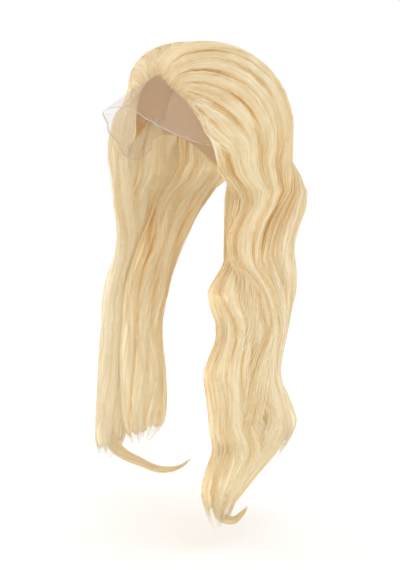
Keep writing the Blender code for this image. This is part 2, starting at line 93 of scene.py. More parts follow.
# Seam between lace and cap, and how far round the lace and the back rim reach, in degrees
SEAM_TURN = 95
SEAM_SET_BACK = 0.24
LACE_TURN = 78
CAP_RIM_REACH = 82
CAP_STEP_BACK = 0.012
LACE_LIFT = 0.0004

# Net: half widths of its slanting and level threads in cells, and how firm it looks
SLANT_THREAD = 0.11
LEVEL_THREAD = 0.07
NET_FIRMNESS = 0.35

# Strands: seed of their places, and the groups of tone that loose ones are shared among
SEED = 27
LOOSE_GROUPS = 8

# turn, tilt
HAIRLINE = (
    (0, 45), (15, 50), (30, 58), (45, 68), (54, 78), (60, 87), (70, 97), (80, 99),
)
CAP_RIM = (
    (98, 95), (110, 97), (125, 106), (140, 117), (160, 126), (180, 129),
)
# across, x, y, z
LACE_EDGE = (
    (-1.00, -0.0715, -0.0220, -0.1340),
    (-0.88, -0.0705, -0.0500, -0.1485),
    (-0.76, -0.0685, -0.0700, -0.1410),
    (-0.64, -0.0630, -0.0920, -0.1230),
    (-0.52, -0.0540, -0.1120, -0.1040),
    (-0.42, -0.0460, -0.1240, -0.0930),
    (-0.32, -0.0380, -0.1300, -0.0800),
    (-0.22, -0.0250, -0.1240, -0.0750),
    (-0.10, -0.0110, -0.1060, -0.0800),
    (0.02, 0.0030, -0.0960, -0.0890),
    (0.20, 0.0200, -0.0930, -0.0970),
    (0.40, 0.0390, -0.0830, -0.1070),
    (0.65, 0.0590, -0.0600, -0.1190),
    (0.85, 0.0690, -0.0380, -0.1250),
    (1.00, 0.0725, -0.0210, -0.1290),
)
# turn, z of the crown hair's lower rim
RIM_LEFT = (
    (0, -0.0300), (15, -0.0360), (30, -0.0480), (45, -0.0640), (54, -0.0820),
    (62, -0.1080), (68, -0.1300), (80, -0.1450), (130, -0.1480), (180, -0.1600),
)
RIM_RIGHT = (
    (0, -0.0290), (15, -0.0345), (30, -0.0440), (40, -0.0540), (48, -0.0860),
    (53, -0.1280), (80, -0.1450), (130, -0.1500), (180, -0.1600),
)
# Lines of gold painted shade that fan out from the peak of the hairline, as shares across the crown
# hair
SHADE_FAN_LINES = (0.05, 0.10, 0.155, 0.205, 0.25, 0.29, 0.33)
# How the hair is swept over each side: share, heading, reach, end turn, fall, lean
FLOW_LEFT = (
    (0.00, 80, 0.45, 68, 0.30, 0.0),
    (0.10, 62, 0.48, 83, 0.40, 0.0),
    (0.20, 42, 0.50, 99, 0.50, 0.15),
    (0.30, 20, 0.50, 115, 0.56, 0.35),
    (0.38, 4, 0.48, 128, 0.58, 0.45),
    (0.44, 16, 0.44, 133, 0.57, 0.40),
    (0.55, 20, 0.42, 141, 0.54, 0.30),
    (0.70, 20, 0.40, 152, 0.50, 0.15),
    (0.85, 14, 0.35, 165, 0.45, 0.0),
    (1.00, 0, 0.30, 180, 0.40, 0.0),
)
FLOW_RIGHT = (
    (0.00, 72, 0.45, 53, 0.30, 0.0),
    (0.12, 52, 0.48, 62, 0.42, 0.0),
    (0.24, 32, 0.50, 72, 0.52, 0.0),
    (0.38, 12, 0.48, 86, 0.58, 0.15),
    (0.44, 22, 0.44, 96, 0.56, 0.30),
    (0.55, 22, 0.42, 114, 0.54, 0.60),
    (0.70, 22, 0.40, 136, 0.50, 0.55),
    (0.85, 15, 0.35, 157, 0.45, 0.10),
    (1.00, 0, 0.30, 180, 0.40, 0.0),
)
# z, front_x, front_y, back_x, back_y, bow, thick
FRONT_LEFT = (
    (-0.150, 0.0850, -0.0300, 0.0900, 0.0850, 0.010, 0.018),
    (-0.176, 0.0920, -0.0125, 0.0950, 0.0770, 0.009, 0.020),
    (-0.198, 0.0970, -0.0065, 0.0990, 0.0600, 0.006, 0.020),
    (-0.213, 0.0985, -0.0135, 0.1020, 0.0420, 0.004, 0.020),
    (-0.231, 0.0995, -0.0305, 0.1040, 0.0300, 0.003, 0.020),
    (-0.255, 0.1000, -0.0355, 0.1070, 0.0190, 0.003, 0.021),
    (-0.278, 0.1010, -0.0280, 0.1080, 0.0130, 0.003, 0.022),
    (-0.300, 0.1040, -0.0075, 0.1090, 0.0240, 0.003, 0.024),
    (-0.325, 0.1060, 0.0050, 0.1080, 0.0390, 0.003, 0.028),
    (-0.360, 0.1070, 0.0100, 0.1030, 0.0500, 0.003, 0.034),
    (-0.400, 0.1040, 0.0060, 0.0990, 0.0460, 0.003, 0.034),
    (-0.440, 0.1050, 0.0060, 0.1000, 0.0480, 0.003, 0.038),
    (-0.480, 0.1080, 0.0140, 0.1030, 0.0590, 0.003, 0.038),
    (-0.515, 0.1080, 0.0320, 0.1010, 0.0700, 0.003, 0.030),
    (-0.535, 0.1060, 0.0460, 0.1000, 0.0680, 0.001, 0.012),
)
SIDE_LEFT = (
    (-0.190, 0.0800, 0.0040, 0.0800, 0.0500, 0.006, 0.014),
    (-0.230, 0.0800, -0.0100, 0.0820, 0.0300, 0.004, 0.016),
    (-0.265, 0.0790, -0.0170, 0.0800, 0.0140, 0.004, 0.017),
    (-0.290, 0.0810, -0.0300, 0.0820, 0.0060, 0.004, 0.019),
    (-0.314, 0.0890, -0.0590, 0.0880, -0.0030, 0.004, 0.026),
    (-0.334, 0.0950, -0.0600, 0.0950, 0.0000, 0.004, 0.030),
    (-0.360, 0.0980, -0.0510, 0.0970, 0.0050, 0.004, 0.032),
    (-0.378, 0.0990, -0.0530, 0.0980, 0.0040, 0.004, 0.033),
    (-0.398, 0.1000, -0.0640, 0.0990, 0.0010, 0.004, 0.034),
    (-0.420, 0.1000, -0.0740, 0.0990, 0.0000, 0.004, 0.036),
    (-0.448, 0.1000, -0.0710, 0.0990, 0.0010, 0.004, 0.036),
    (-0.472, 0.1000, -0.0680, 0.0990, 0.0060, 0.004, 0.036),
    (-0.500, 0.1000, -0.0660, 0.0990, 0.0160, 0.004, 0.036),
    (-0.524, 0.1000, -0.0570, 0.0980, 0.0340, 0.003, 0.036),
    (-0.541, 0.1000, -0.0660, 0.0980, 0.0380, 0.002, 0.034),
    (-0.562, 0.1000, -0.0790, 0.0980, 0.0190, 0.001, 0.030),
    (-0.582, 0.1000, -0.0820, 0.0980, -0.0060, 0.001, 0.026),
    (-0.604, 0.1000, -0.0750, 0.0980, -0.0280, 0.001, 0.020),
    (-0.622, 0.1000, -0.0670, 0.0985, -0.0340, 0.000, 0.012),
    (-0.632, 0.1000, -0.0600, 0.0990, -0.0430, 0.000, 0.005),
)
BACK_LEFT = (
    (-0.160, 0.0900, 0.0890, 0.0060, 0.1270, 0.020, 0.030),
    (-0.180, 0.0930, 0.0830, 0.0060, 0.1280, 0.021, 0.032),
    (-0.200, 0.0940, 0.0670, 0.0060, 0.1280, 0.022, 0.034),
    (-0.217, 0.0950, 0.0510, 0.0060, 0.1260, 0.025, 0.036),
    (-0.243, 0.0970, 0.0360, 0.0060, 0.1220, 0.025, 0.036),
    (-0.273, 0.0980, 0.0240, 0.0060, 0.1180, 0.026, 0.036),
    (-0.303, 0.0980, 0.0330, 0.0060, 0.1160, 0.026, 0.036),
    (-0.340, 0.0950, 0.0490, 0.0060, 0.1160, 0.020, 0.036),
    (-0.378, 0.0900, 0.0560, 0.0060, 0.1120, 0.013, 0.036),
    (-0.404, 0.0870, 0.0520, 0.0060, 0.1040, 0.010, 0.036),
    (-0.430, 0.0860, 0.0520, 0.0060, 0.0960, 0.007, 0.036),
    (-0.450, 0.0880, 0.0540, 0.0060, 0.0930, 0.006, 0.038),
    (-0.473, 0.0920, 0.0600, 0.0060, 0.0970, 0.012, 0.040),
    (-0.499, 0.0920, 0.0690, 0.0060, 0.1040, 0.016, 0.040),
    (-0.520, 0.0880, 0.0770, 0.0080, 0.1040, 0.020, 0.036),
    (-0.545, 0.0820, 0.0820, 0.0180, 0.1000, 0.014, 0.026),
    (-0.565, 0.0700, 0.0860, 0.0300, 0.0940, 0.006, 0.012),
)
BACK_RIGHT = (
    (-0.165, -0.0060, 0.1270, -0.0560, 0.1100, 0.006, 0.030),
    (-0.200, -0.0060, 0.1280, -0.0560, 0.1080, 0.006, 0.032),
    (-0.243, -0.0060, 0.1220, -0.0540, 0.1020, 0.006, 0.034),
    (-0.300, -0.0060, 0.1150, -0.0500, 0.0960, 0.006, 0.034),
    (-0.360, -0.0060, 0.1150, -0.0480, 0.0980, 0.006, 0.034),
    (-0.420, -0.0060, 0.0960, -0.0460, 0.0860, 0.005, 0.034),
    (-0.470, -0.0060, 0.0960, -0.0460, 0.0860, 0.005, 0.034),
    (-0.515, -0.0060, 0.1040, -0.0440, 0.0920, 0.005, 0.030),
    (-0.545, -0.0080, 0.1020, -0.0360, 0.0940, 0.003, 0.020),
    (-0.560, -0.0120, 0.0980, -0.0280, 0.0940, 0.001, 0.008),
)
NAPE_RIGHT = (
    (-0.160, -0.1020, 0.0380, -0.0700, 0.1050, 0.012, 0.024),
    (-0.200, -0.0960, 0.0120, -0.0780, 0.0900, 0.010, 0.024),
    (-0.250, -0.0840, -0.0280, -0.0860, 0.0600, 0.006, 0.026),
    (-0.300, -0.0770, -0.0530, -0.0900, 0.0350, 0.004, 0.027),
    (-0.350, -0.0750, -0.0680, -0.0890, 0.0130, 0.004, 0.028),
    (-0.400, -0.0750, -0.0720, -0.0870, 0.0060, 0.004, 0.028),
    (-0.450, -0.0750, -0.0740, -0.0860, 0.0100, 0.004, 0.028),
    (-0.500, -0.0750, -0.0720, -0.0850, 0.0120, 0.004, 0.028),
    (-0.535, -0.0770, -0.0650, -0.0850, 0.0040, 0.004, 0.020),
    (-0.552, -0.0790, -0.0560, -0.0860, -0.0190, 0.002, 0.009),
)
FRONT_RIGHT = (
    (-0.135, -0.0850, -0.0660, -0.1080, 0.0320, 0.012, 0.020),
    (-0.177, -0.0860, -0.0700, -0.1120, 0.0320, 0.010, 0.020),
    (-0.204, -0.0880, -0.0700, -0.1130, 0.0260, 0.008, 0.020),
    (-0.226, -0.0890, -0.0660, -0.1130, 0.0160, 0.006, 0.020),
    (-0.257, -0.0920, -0.0630, -0.1120, 0.0000, 0.004, 0.022),
    (-0.293, -0.0950, -0.0700, -0.1110, -0.0170, 0.004, 0.022),
    (-0.319, -0.0970, -0.0780, -0.1090, -0.0260, 0.004, 0.024),
    (-0.354, -0.0990, -0.0850, -0.1070, -0.0340, 0.004, 0.026),
    (-0.407, -0.1000, -0.0880, -0.1060, -0.0410, 0.004, 0.028),
    (-0.449, -0.1000, -0.0920, -0.1050, -0.0430, 0.004, 0.028),
    (-0.483, -0.0990, -0.0980, -0.1040, -0.0450, 0.004, 0.028),
    (-0.510, -0.0990, -0.0975, -0.1040, -0.0460, 0.004, 0.028),
    (-0.537, -0.0980, -0.1020, -0.1020, -0.0510, 0.002, 0.026),
    (-0.556, -0.0970, -0.1010, -0.0990, -0.0640, 0.001, 0.018),
    (-0.566, -0.0960, -0.0980, -0.0970, -0.0740, 0.000, 0.008),
)
# x, y, z, radius
RIGHT_WISP = (
    (-0.0950, -0.0840, -0.5350, 0.0095),
    (-0.0880, -0.0790, -0.5520, 0.0090),
    (-0.0740, -0.0700, -0.5640, 0.0075),
    (-0.0580, -0.0580, -0.5720, 0.0062),
    (-0.0430, -0.0410, -0.5820, 0.0050),
    (-0.0290, -0.0250, -0.5830, 0.0038),
    (-0.0180, -0.0130, -0.5770, 0.0024),
    (-0.0090, -0.0030, -0.5640, 0.0012),
)
LEFT_HOOK = (
    (0.0990, -0.0600, -0.5980, 0.0050),
    (0.0990, -0.0460, -0.6180, 0.0070),
    (0.0990, -0.0260, -0.6270, 0.0055),
    (0.0990, -0.0100, -0.6220, 0.0036),
    (0.0990, 0.0030, -0.6130, 0.0012),
)

# Strands between two locks: names, places round each, mixes at each end, levels, count, rise
BRIDGES = (
    (
        ("front_left", "side_left"), ((0.02, 0.22), (0.06, 0.42)), ((0, 0), (1, 1)),
        (-0.27, -0.39), 150, 0.002,
    ),
    (
        ("front_left", "side_left"), ((0.05, 0.30), (0.30, 0.46)), ((1, 1), (0, 0)),
        (-0.31, -0.43), 120, 0.002,
    ),
    (
        ("front_left", "side_left"), ((0.03, 0.34), (0.08, 0.42)), ((0, 0), (1, 1)),
        (-0.37, -0.50), 230, 0.0025,
    ),
    (
        ("side_left", "front_left"), ((0.03, 0.20), (0.16, 0.44)), ((0, 0), (1, 1)),
        (-0.420, -0.600), 100, 0.002,
    ),
    (
        ("front_left", "side_left"), ((0.12, 0.50), (0.14, 0.48)), ((0, 0), (1, 1)),
        (-0.485, -0.60), 200, 0.0025,
    ),
    (
        ("back_left", "front_left"), ((0.03, 0.15), (0.25, 0.45)), ((0, 0), (1, 1)),
        (-0.29, -0.41), 110, 0.002,
    ),
    (
        ("nape_right", "front_right"), ((0.97, 0.84), (0.56, 0.75)), ((0, 0.2), (0.8, 1)),
        (-0.17, -0.38), 170, 0.003,
    ),
    (
        ("nape_right", "front_right"), ((0.96, 0.84), (0.56, 0.68)), ((0.1, 0.9), (0.1, 0.9)),
        (-0.14, -0.50), 170, 0.003,
    ),
)

# Strands from crown to tip: piece, side, and for each lock its name, how many strands are swept
# down its outside, how many lie inside it, and the points that a strand has over the crown
SWEPT_STRANDS = (
    ("strands_front_left", "left", (("front_left", 720, 60, 12),)),
    ("strands_back_left", "left", (("back_left", 550, 60, 19),)),
    ("strands_back_right", "right", (("back_right", 160, 50, 19), ("nape_right", 260, 280, 17))),
    ("strands_front_right", "right", (("front_right", 400, 415, 12),)),
)


class Slot(Enum):
    """Material slots of the record."""

    LACE = "lace"
    NET = "cap_net"
    HAIR = "blonde_hair"


def table_curve(rows: tuple, at: np.ndarray, column: int) -> np.ndarray:
    """Read a smooth curve through one column of a table.

    Args:
        rows: Table rows; the first column runs steadily one way.
        at: Places along the first column.
        column: Column to read.

    Returns:
        The column's value at each place.
    """
    table = np.asarray(rows, dtype=float)
    keys, values = table[:, 0], table[:, column]
    at = np.asarray(at, dtype=float)
    if keys[-1] < keys[0]:
        keys, at = -keys, -at
    at = np.clip(at, keys[0], keys[-1])
    index = np.clip(np.searchsorted(keys, at, side="left") - 1, 0, len(keys) - 2)
    every = np.arange(len(keys))
    low, high = np.maximum(every - 1, 0), np.minimum(every + 1, len(keys) - 1)
    slopes = (values[high] - values[low]) / (keys[high] - keys[low])
    span = keys[index + 1] - keys[index]
    t = (at - keys[index]) / span
    return (
        (2 * t**3 - 3 * t**2 + 1) * values[index]
        + (t**3 - 2 * t**2 + t) * span * slopes[index]
        + (3 * t**2 - 2 * t**3) * values[index + 1]
        + (t**3 - t**2) * span * slopes[index + 1]
    )


def smooth_step(t: np.ndarray) -> np.ndarray:
    """Ease from 0 to 1, flat outside that range."""
    t = np.clip(t, 0.0, 1.0)
    return t * t * (3 - 2 * t)


def unit(vectors: np.ndarray) -> np.ndarray:
    """Scale vectors to length 1."""
    return vectors / np.maximum(np.linalg.norm(vectors, axis=-1, keepdims=True), 1e-9)


def direction(turn: np.ndarray, tilt: np.ndarray) -> np.ndarray:
    """Point on the unit sphere.

    Args:
        turn: Degrees from the front towards the left side.
        tilt: Degrees from the crown.

    Returns:
        Unit vectors.
    """
    turn, tilt = np.broadcast_arrays(np.radians(turn), np.radians(tilt))
    return np.stack(
        [np.sin(tilt) * np.sin(turn), -np.sin(tilt) * np.cos(turn), np.cos(tilt)], -1
    )


def on_form(toward: np.ndarray, lift: np.ndarray | float = 0.0) -> np.ndarray:
    """Point above the form that the cap fits.

    Args:
        toward: Unit directions from the form's centre.
        lift: Distance off the form.

    Returns:
        Points.
    """
    reach = toward * FORM_SIZE
    size = np.linalg.norm(reach, axis=-1, keepdims=True)
    lift = np.asarray(lift)[..., None] if np.ndim(lift) else lift
    return reach * (1 + lift / size) + FORM_CENTRE


def volume_lift(toward: np.ndarray) -> np.ndarray:
    """How far the hair's full volume stands off the form.

    Args:
        toward: Unit directions from the form's centre.

    Returns:
        Distances off the form.
    """
    reach = toward * FORM_SIZE
    ray = unit(reach) / VOLUME_SIZE
    start = np.array([0, -VOLUME_SET_BACK, 0]) / VOLUME_SIZE
    a, b = (ray * ray).sum(-1), 2 * (ray * start).sum(-1)
    c = float(start @ start) - 1
    return (-b + np.sqrt(b * b - 4 * a * c)) / (2 * a) - np.linalg.norm(reach, axis=-1)


def level_run(z: np.ndarray) -> np.ndarray:
    """Run of a crown slice at a level: 1 at the form's widest level, more below it.

    Args:
        z: Level.

    Returns:
        Place down the slice.
    """
    z = np.asarray(z, dtype=float)
    above = np.arccos(np.clip(1 + z / FORM_SIZE[2], -1, 1)) / (math.pi / 2)
    return np.where(z > -FORM_SIZE[2], above, 1 + (-FORM_SIZE[2] - z) / DROP_PER_TURN)


def lock_relief(across: np.ndarray, along: np.ndarray, counts: tuple, depths: tuple) -> np.ndarray:
    """Rounded ridges with sharp valleys between them, as hair gathers into locks.

    Args:
        across: 0 to 1 across the hair.
        along: 0 to 1 along the hair.
        counts: Ridges across, one entry a layer.
        depths: Depth of each layer.

    Returns:
        Height of the surface.
    """
    across, along = np.broadcast_arrays(across, along)
    height = np.zeros(across.shape)
    for k, (count, depth) in enumerate(zip(counts, depths)):
        sway = 0.7 * np.sin(2 * math.pi * (1.3 + 0.5 * k) * along + 1.7 * k)
        sway = sway + 0.3 * np.sin(2 * math.pi * (2.9 + 0.4 * k) * along + 7.1 * across)
        height = height + depth * (np.abs(np.cos(math.pi * count * across + sway)) ** 0.8 - 0.6)
    return height


def linear(colour: tuple[int, int, int]) -> tuple[float, float, float, float]:
    """Give a colour in the linear values that a shader takes.

    Args:
        colour: Red, green and blue as picked, 0 to 255.

    Returns:
        Linear red, green and blue, and full cover.
    """
    levels = [value / 255 for value in colour]
    red, green, blue = (
        value / 12.92 if value < 0.04 else ((value + 0.055) / 1.055) ** 2.4 for value in levels
    )
    return red, green, blue, 1.0


def bent_line(
    start: np.ndarray, near_start: np.ndarray, near_end: np.ndarray, end: np.ndarray, t: np.ndarray
) -> np.ndarray:
    """Smooth line on the unit sphere from one direction to another.

    Args:
        start: Where it starts.
        near_start: What it heads for as it leaves.
        near_end: What it comes from as it ends.
        end: Where it ends.
        t: 0 to 1 along it.

    Returns:
        Unit directions.
    """
    return unit(
        (1 - t) ** 3 * start
        + 3 * (1 - t) ** 2 * t * near_start
        + 3 * (1 - t) * t**2 * near_end
        + t**3 * end
    )


HAIRLINE_TURNS = np.arange(-SWEPT_FROM_RIGHT, SWEPT_FROM_LEFT + 1, 4)
HAIRLINE_POINTS = on_form(
    direction(HAIRLINE_TURNS, table_curve(HAIRLINE, np.abs(HAIRLINE_TURNS), 1))
)


def placed_grid(name: str, points: np.ndarray, tones: np.ndarray | None = None) -> bpy.types.Object:
    """Grid laid through rows of points, with a UV map across and along.

    Args:
        name: Name of the piece.
        points: Rows of points.
        tones: Tone of each point, kept as an attribute.

    Returns:
        The piece.
    """
    rows, columns = points.shape[:2]
    bpy.ops.object.select_all(action="DESELECT")
    bpy.ops.mesh.primitive_grid_add(
        x_subdivisions=columns - 1, y_subdivisions=rows - 1, size=1.0
    )
    made = bpy.context.object
    made.name = name
    made.data.name = name
    flat = np.empty(rows * columns * 3)
    made.data.vertices.foreach_get("co", flat)
    flat = flat.reshape(-1, 3)
    order = np.lexsort((np.round(flat[:, 0], 6), np.round(flat[:, 1], 6)))
    places = np.empty_like(flat)
    places[order] = points.reshape(-1, 3)
    made.data.vertices.foreach_set("co", places.ravel())
    if tones is not None:
        values = np.empty(rows * columns, dtype=np.float32)
        values[order] = tones.ravel()
        made.data.attributes.new("tone", "FLOAT", "POINT").data.foreach_set("value", values)
    made.data.update()
    return made


def ring_core(name: str, rings: np.ndarray, tones: np.ndarray) -> bpy.types.Object:
    """Closed body through rings of points, from a grid wrapped round and sewn shut.

    Args:
        name: Name of the piece.
        rings: Points as rows of rings; the first and last points of a ring coincide.
        tones: Tone of each point.

    Returns:
        The piece, with its UV map across and along the hair.
    """
    made = placed_grid(name, rings, tones)
    bpy.ops.object.mode_set(mode="EDIT")
    bpy.ops.mesh.select_all(action="SELECT")
    bpy.ops.mesh.remove_doubles(threshold=0.00002)
    bpy.ops.mesh.normals_make_consistent(inside=False)
    bpy.ops.object.mode_set(mode="OBJECT")
    bpy.ops.object.shade_smooth()
    return made


@dataclass
class StrandBundle:
    """Many fine closed strands gathered for one mesh."""

    name: str
    sides: int = 3
    points: list[np.ndarray] = field(default_factory=list)
    faces: list[np.ndarray] = field(default_factory=list)
    tones: list[np.ndarray] = field(default_factory=list)
    count: int = 0

    def add(self, paths: np.ndarray, radii: np.ndarray, tones: np.ndarray) -> None:
        """Sweep a small ring along each path and close both ends.

        Args:
            paths: Strand points, as strands by points by 3.
            radii: Strand radius at each point, as strands by points.
            tones: Tone at each point, as strands by points.
        """
        strands, steps = paths.shape[:2]
        ahead = unit(np.gradient(paths, axis=1))
        out = paths * np.array([1, 1, 0]) + np.array([0, 0, 1e-4])
        side = unit(np.cross(ahead, unit(out)))
        rise = np.cross(side, ahead)
        angles = np.arange(self.sides) * 2 * math.pi / self.sides
        ring = (
            side[:, :, None] * np.cos(angles)[:, None]
            + rise[:, :, None] * np.sin(angles)[:, None]
        )
        tube = paths[:, :, None] + ring * radii[:, :, None, None]
        body = tube[:, :-1].reshape(strands, -1, 3)
        places = np.concatenate([body, paths[:, -1:]], axis=1)
        each = places.shape[1]
        i = np.arange(steps - 2)[:, None] * self.sides
        j = np.arange(self.sides)[None]
        k = (j + 1) % self.sides
        quads = np.stack([i + j, i + k, i + self.sides + k, i + self.sides + j], -1)
        quads = quads.reshape(-1, 4)
        last = (steps - 2) * self.sides
        tip = np.stack([last + j[0], last + k[0], np.full(self.sides, each - 1)], -1)
        tip = np.concatenate([tip, np.full((self.sides, 1), -1)], axis=1)
        root = np.array([[2, 1, 0, -1]])
        pattern = np.concatenate([quads, tip, root])
        start = self.count + np.arange(strands)[:, None, None] * each
        faces = np.where(pattern[None] < 0, -1, pattern[None] + start)
        tone = np.repeat(tones[:, :-1], self.sides, axis=1)
        tone = np.concatenate([tone, tones[:, -1:]], axis=1)
        self.points.append(places.reshape(-1, 3))
        self.faces.append(faces.reshape(-1, 4))
        self.tones.append(tone.ravel())
        self.count += strands * each

    def build(self) -> bpy.types.Object:
        """Join all the strands in one mesh with a tone attribute.

        Returns:
            The piece.
        """
        points, faces = np.concatenate(self.points), np.concatenate(self.faces)
        sizes = np.where(faces[:, 3] < 0, 3, 4)
        corners = faces.ravel()
        corners = corners[corners >= 0]
        mesh = bpy.data.meshes.new(self.name)
        mesh.vertices.add(len(points))
        mesh.vertices.foreach_set("co", points.astype(np.float32).ravel())
        mesh.loops.add(len(corners))
        mesh.loops.foreach_set("vertex_index", corners.astype(np.int32))
        mesh.polygons.add(len(faces))
        starts = np.concatenate([[0], np.cumsum(sizes)[:-1]])
        mesh.polygons.foreach_set("loop_start", starts.astype(np.int32))
        mesh.update(calc_edges=True)
        mesh.validate()
        mesh.shade_smooth()
        tone = mesh.attributes.new("tone", "FLOAT", "POINT")
        tone.data.foreach_set("value", np.concatenate(self.tones).astype(np.float32))
        made = bpy.data.objects.new(self.name, mesh)
        bpy.context.scene.collection.objects.link(made)
        return made


@dataclass
class CrownHair:
    """Hair of one side over the cap, swept from the hairline and the parting."""

    name: str
    node: str
    side: int
    rim: tuple
    flow: tuple
    forelock: float
    # Share where roots pass from the hairline to the parting, and where the hairline starts
    split: float = 0.38
    first_turn: float = SWEPT_FROM_LEFT
    peak_turn: float = 6.5
    # Tilt from the hairline where hair starts, and what it gains in front, in degrees
    root_tilt: float = -2.4
    root_gain: float = 3.0
    # Tilt of the first root on the parting, and how far back the last one is, in degrees
    parting_tilt: float = 43
    parting_span: float = 75
    # Ridges across, and their depths
    counts: tuple = (13, 31, 67)
    depths: tuple = (0.0012, 0.0006, 0.0003)
    columns: int = 84
    rows: int = 44

    def rim_run(self, turn: np.ndarray) -> np.ndarray:
        """Length of a slice at a turn, as a run."""
        return level_run(table_curve(self.rim, turn, 1))

    def unparted(self, toward: np.ndarray) -> np.ndarray:
        """Move world directions so that the parting is over the crown."""
        shift = PARTING_SHIFT * np.sqrt(np.maximum(toward[..., 2], 0))
        return unit(toward - np.stack([shift, 0 * shift, 0 * shift], -1))

    def surface(
        self, toward: np.ndarray, parting: float = 1.0
    ) -> tuple[np.ndarray, np.ndarray, np.ndarray]:
        """Outer surface over the cap, and straight down below its widest level.

        Args:
            toward: Unit directions with the parting over the crown.
            parting: Share of the parting's valley that is kept.

        Returns:
            Points of the surface, points just clear of the cap, and outward directions.
        """
        z = toward[..., 2]
        drop = np.where(z < 0, -np.arcsin(np.clip(z, -1, 1)) * DROP_PER_TURN / (math.pi / 2), 0)
        level = toward.copy()
        level[..., 2] = np.maximum(z, 0)
        level = unit(level)
        shift = PARTING_SHIFT * np.sqrt(level[..., 2])
        moved = unit(level + np.stack([shift, 0 * shift, 0 * shift], -1))
        foot = on_form(moved)
        down = np.stack([0 * drop, 0 * drop, -drop], -1)
        gaps = (foot + down)[..., None, :] - HAIRLINE_POINTS
        rise = 1 - np.exp(-np.linalg.norm(gaps, axis=-1).min(-1) / HAIRLINE_RISE)
        flat = np.maximum(np.linalg.norm(level[..., :2], axis=-1), 1e-6)
        turn = np.degrees(np.arctan2(self.side * level[..., 0], -level[..., 1])) % 360
        turn = np.where(turn > 270, turn - 360, turn)
        tilt = np.degrees(np.arccos(np.clip(level[..., 2], -1, 1)))
        lift = volume_lift(moved)
        tuft = np.exp(-(((turn - FORELOCK_TURN) / FORELOCK_SPREAD) ** 2))
        lift = lift + self.forelock * tuft * smooth_step(tilt / FORELOCK_TILT)
        lift = HAIRLINE_LIFT + (lift - HAIRLINE_LIFT) * rise
        beside = np.abs(level[..., 0]) / flat * np.linalg.norm(foot[..., :2], axis=-1)
        valley = np.exp(-((beside / PARTING_WIDTH) ** 2))
        valley = parting * valley * smooth_step((PARTING_FADE - foot[..., 1]) / PARTING_FADE)
        lift = lift - PARTING_DEPTH * valley * rise
        outward = unit(on_form(moved, 0.01) - foot)
        return on_form(moved, lift) + down, on_form(moved, HAIR_SEAT) + down, outward

    def slice_inner(self, turn: np.ndarray, run: np.ndarray) -> tuple[np.ndarray, np.ndarray]:
        """Underside of the crown hair, which the hanging locks tuck under.

        Args:
            turn: Degrees from the front, on this side.
            run: Place down the slice.

        Returns:
            Points just clear of the cap, and the room up to the underside.
        """
        end = self.rim_run(turn)
        leave = np.minimum(level_run(SLANT_START), table_curve(HAIRLINE, turn, 1) / 90)
        leave = np.minimum(leave, end - 0.05)
        outer, seat, _ = self.surface(direction(self.side * turn, 90 * run))
        depth = outer - seat
        size = np.linalg.norm(depth, axis=-1)
        share = np.clip((run - leave) / (end - leave), 0, 1) ** 1.3
        share = share * np.maximum(1 - RIM_WALL / size, 0.3)
        return seat, depth * share[..., None]

    def path(
        self, share: np.ndarray, along: np.ndarray, root: np.ndarray | float = 0.0
    ) -> np.ndarray:
        """Line that the hair takes over the crown.

        Args:
            share: 0 at the temple, 1 at the middle of the back.
            along: 0 at the hairline or parting, 1 at the lower rim.
            root: 0 a little behind the hairline, 1 just in front of it.

        Returns:
            Unit directions with the parting over the crown.
        """
        share, along, root = np.broadcast_arrays(share, along, root)
        peak = self.peak_turn * self.side
        first = self.first_turn + (peak - self.first_turn) * np.clip(share / self.split, 0, 1)
        tilt = table_curve(HAIRLINE, np.abs(first), 1) + self.root_tilt + self.root_gain * root
        hairline = self.unparted(direction(self.side * first, tilt))
        behind = np.clip((share - self.split) / (1 - self.split), 0, 1)
        back = np.radians(self.parting_tilt - self.parting_span * behind)
        beside = self.side * (0.006 - 0.025 * root)
        parting = unit(np.stack([beside, -np.sin(back), np.cos(back)], -1))
        start = np.where((share <= self.split)[..., None], hairline, parting)
        heading = np.radians(table_curve(self.flow, share, 1))[..., None]
        reach = table_curve(self.flow, share, 2)[..., None]
        end_turn = table_curve(self.flow, share, 3)
        fall = table_curve(self.flow, share, 4)[..., None]
        end = direction(self.side * end_turn, 90 * self.rim_run(end_turn))
        backward = unit(np.array([0, 1, 0]) - start * start[..., 1:2])
        sideways = np.cross(backward, start) * self.side
        aim = np.cos(heading) * backward + np.sin(heading) * sideways
        chord = np.linalg.norm(end - start, axis=-1, keepdims=True)
        near_start = start + reach * chord * aim
        lean = table_curve(self.flow, share, 5)[..., None]
        back_turn = direction(self.side * (end_turn + 90), 90)
        upward = unit(np.array([0, 0, 1]) - end * end[..., 2:3] + lean * back_turn)
        near_end = end + fall * chord * upward
        return bent_line(start, near_start, near_end, end, along[..., None])

    def relief(self, share: np.ndarray, along: np.ndarray) -> tuple[np.ndarray, np.ndarray]:
        """Ridges of the swept hair, which fade out at the roots.

        Args:
            share: Place across the hair.
            along: Place along the hair.

        Returns:
            Height of the surface, and tone: pale painted highlight on the ridges, gold painted
                shade in the valleys, in the parting, on the fan lines and at the roots, and darker
                towards the lower rim.
        """
        share, along = np.broadcast_arrays(share, along)
        fade = smooth_step(along / 0.16)
        height = fade * lock_relief(share, along, self.counts, self.depths)
        calm = 1 - 0.6 * smooth_step((share - self.split - 0.03) / 0.08)
        valley = np.exp(-(((share - self.split) / 0.010) ** 2)) * (1 - 0.8 * along)
        lines = np.exp(-(((share[..., None] - np.array(SHADE_FAN_LINES)) / 0.005) ** 2)).max(-1)
        lines = lines * smooth_step(along / 0.10) * (1 - 0.8 * smooth_step((along - 0.5) / 0.4))
        # Painted shade and highlight: pale on the ridges, gold in the valleys, in the parting and
        # on the fan lines
        tone = 0.78 + 0.64 * calm * height / sum(self.depths) - 0.36 * valley - 0.44 * lines
        # Painted shade at the roots, where the hair leaves the cap
        tone = tone - 0.12 * (1 - smooth_step(along / 0.06))
        tone = tone - 0.08 * smooth_step((along - 0.55) / 0.4)
        return height - 0.0018 * valley * smooth_step(along / 0.08), tone

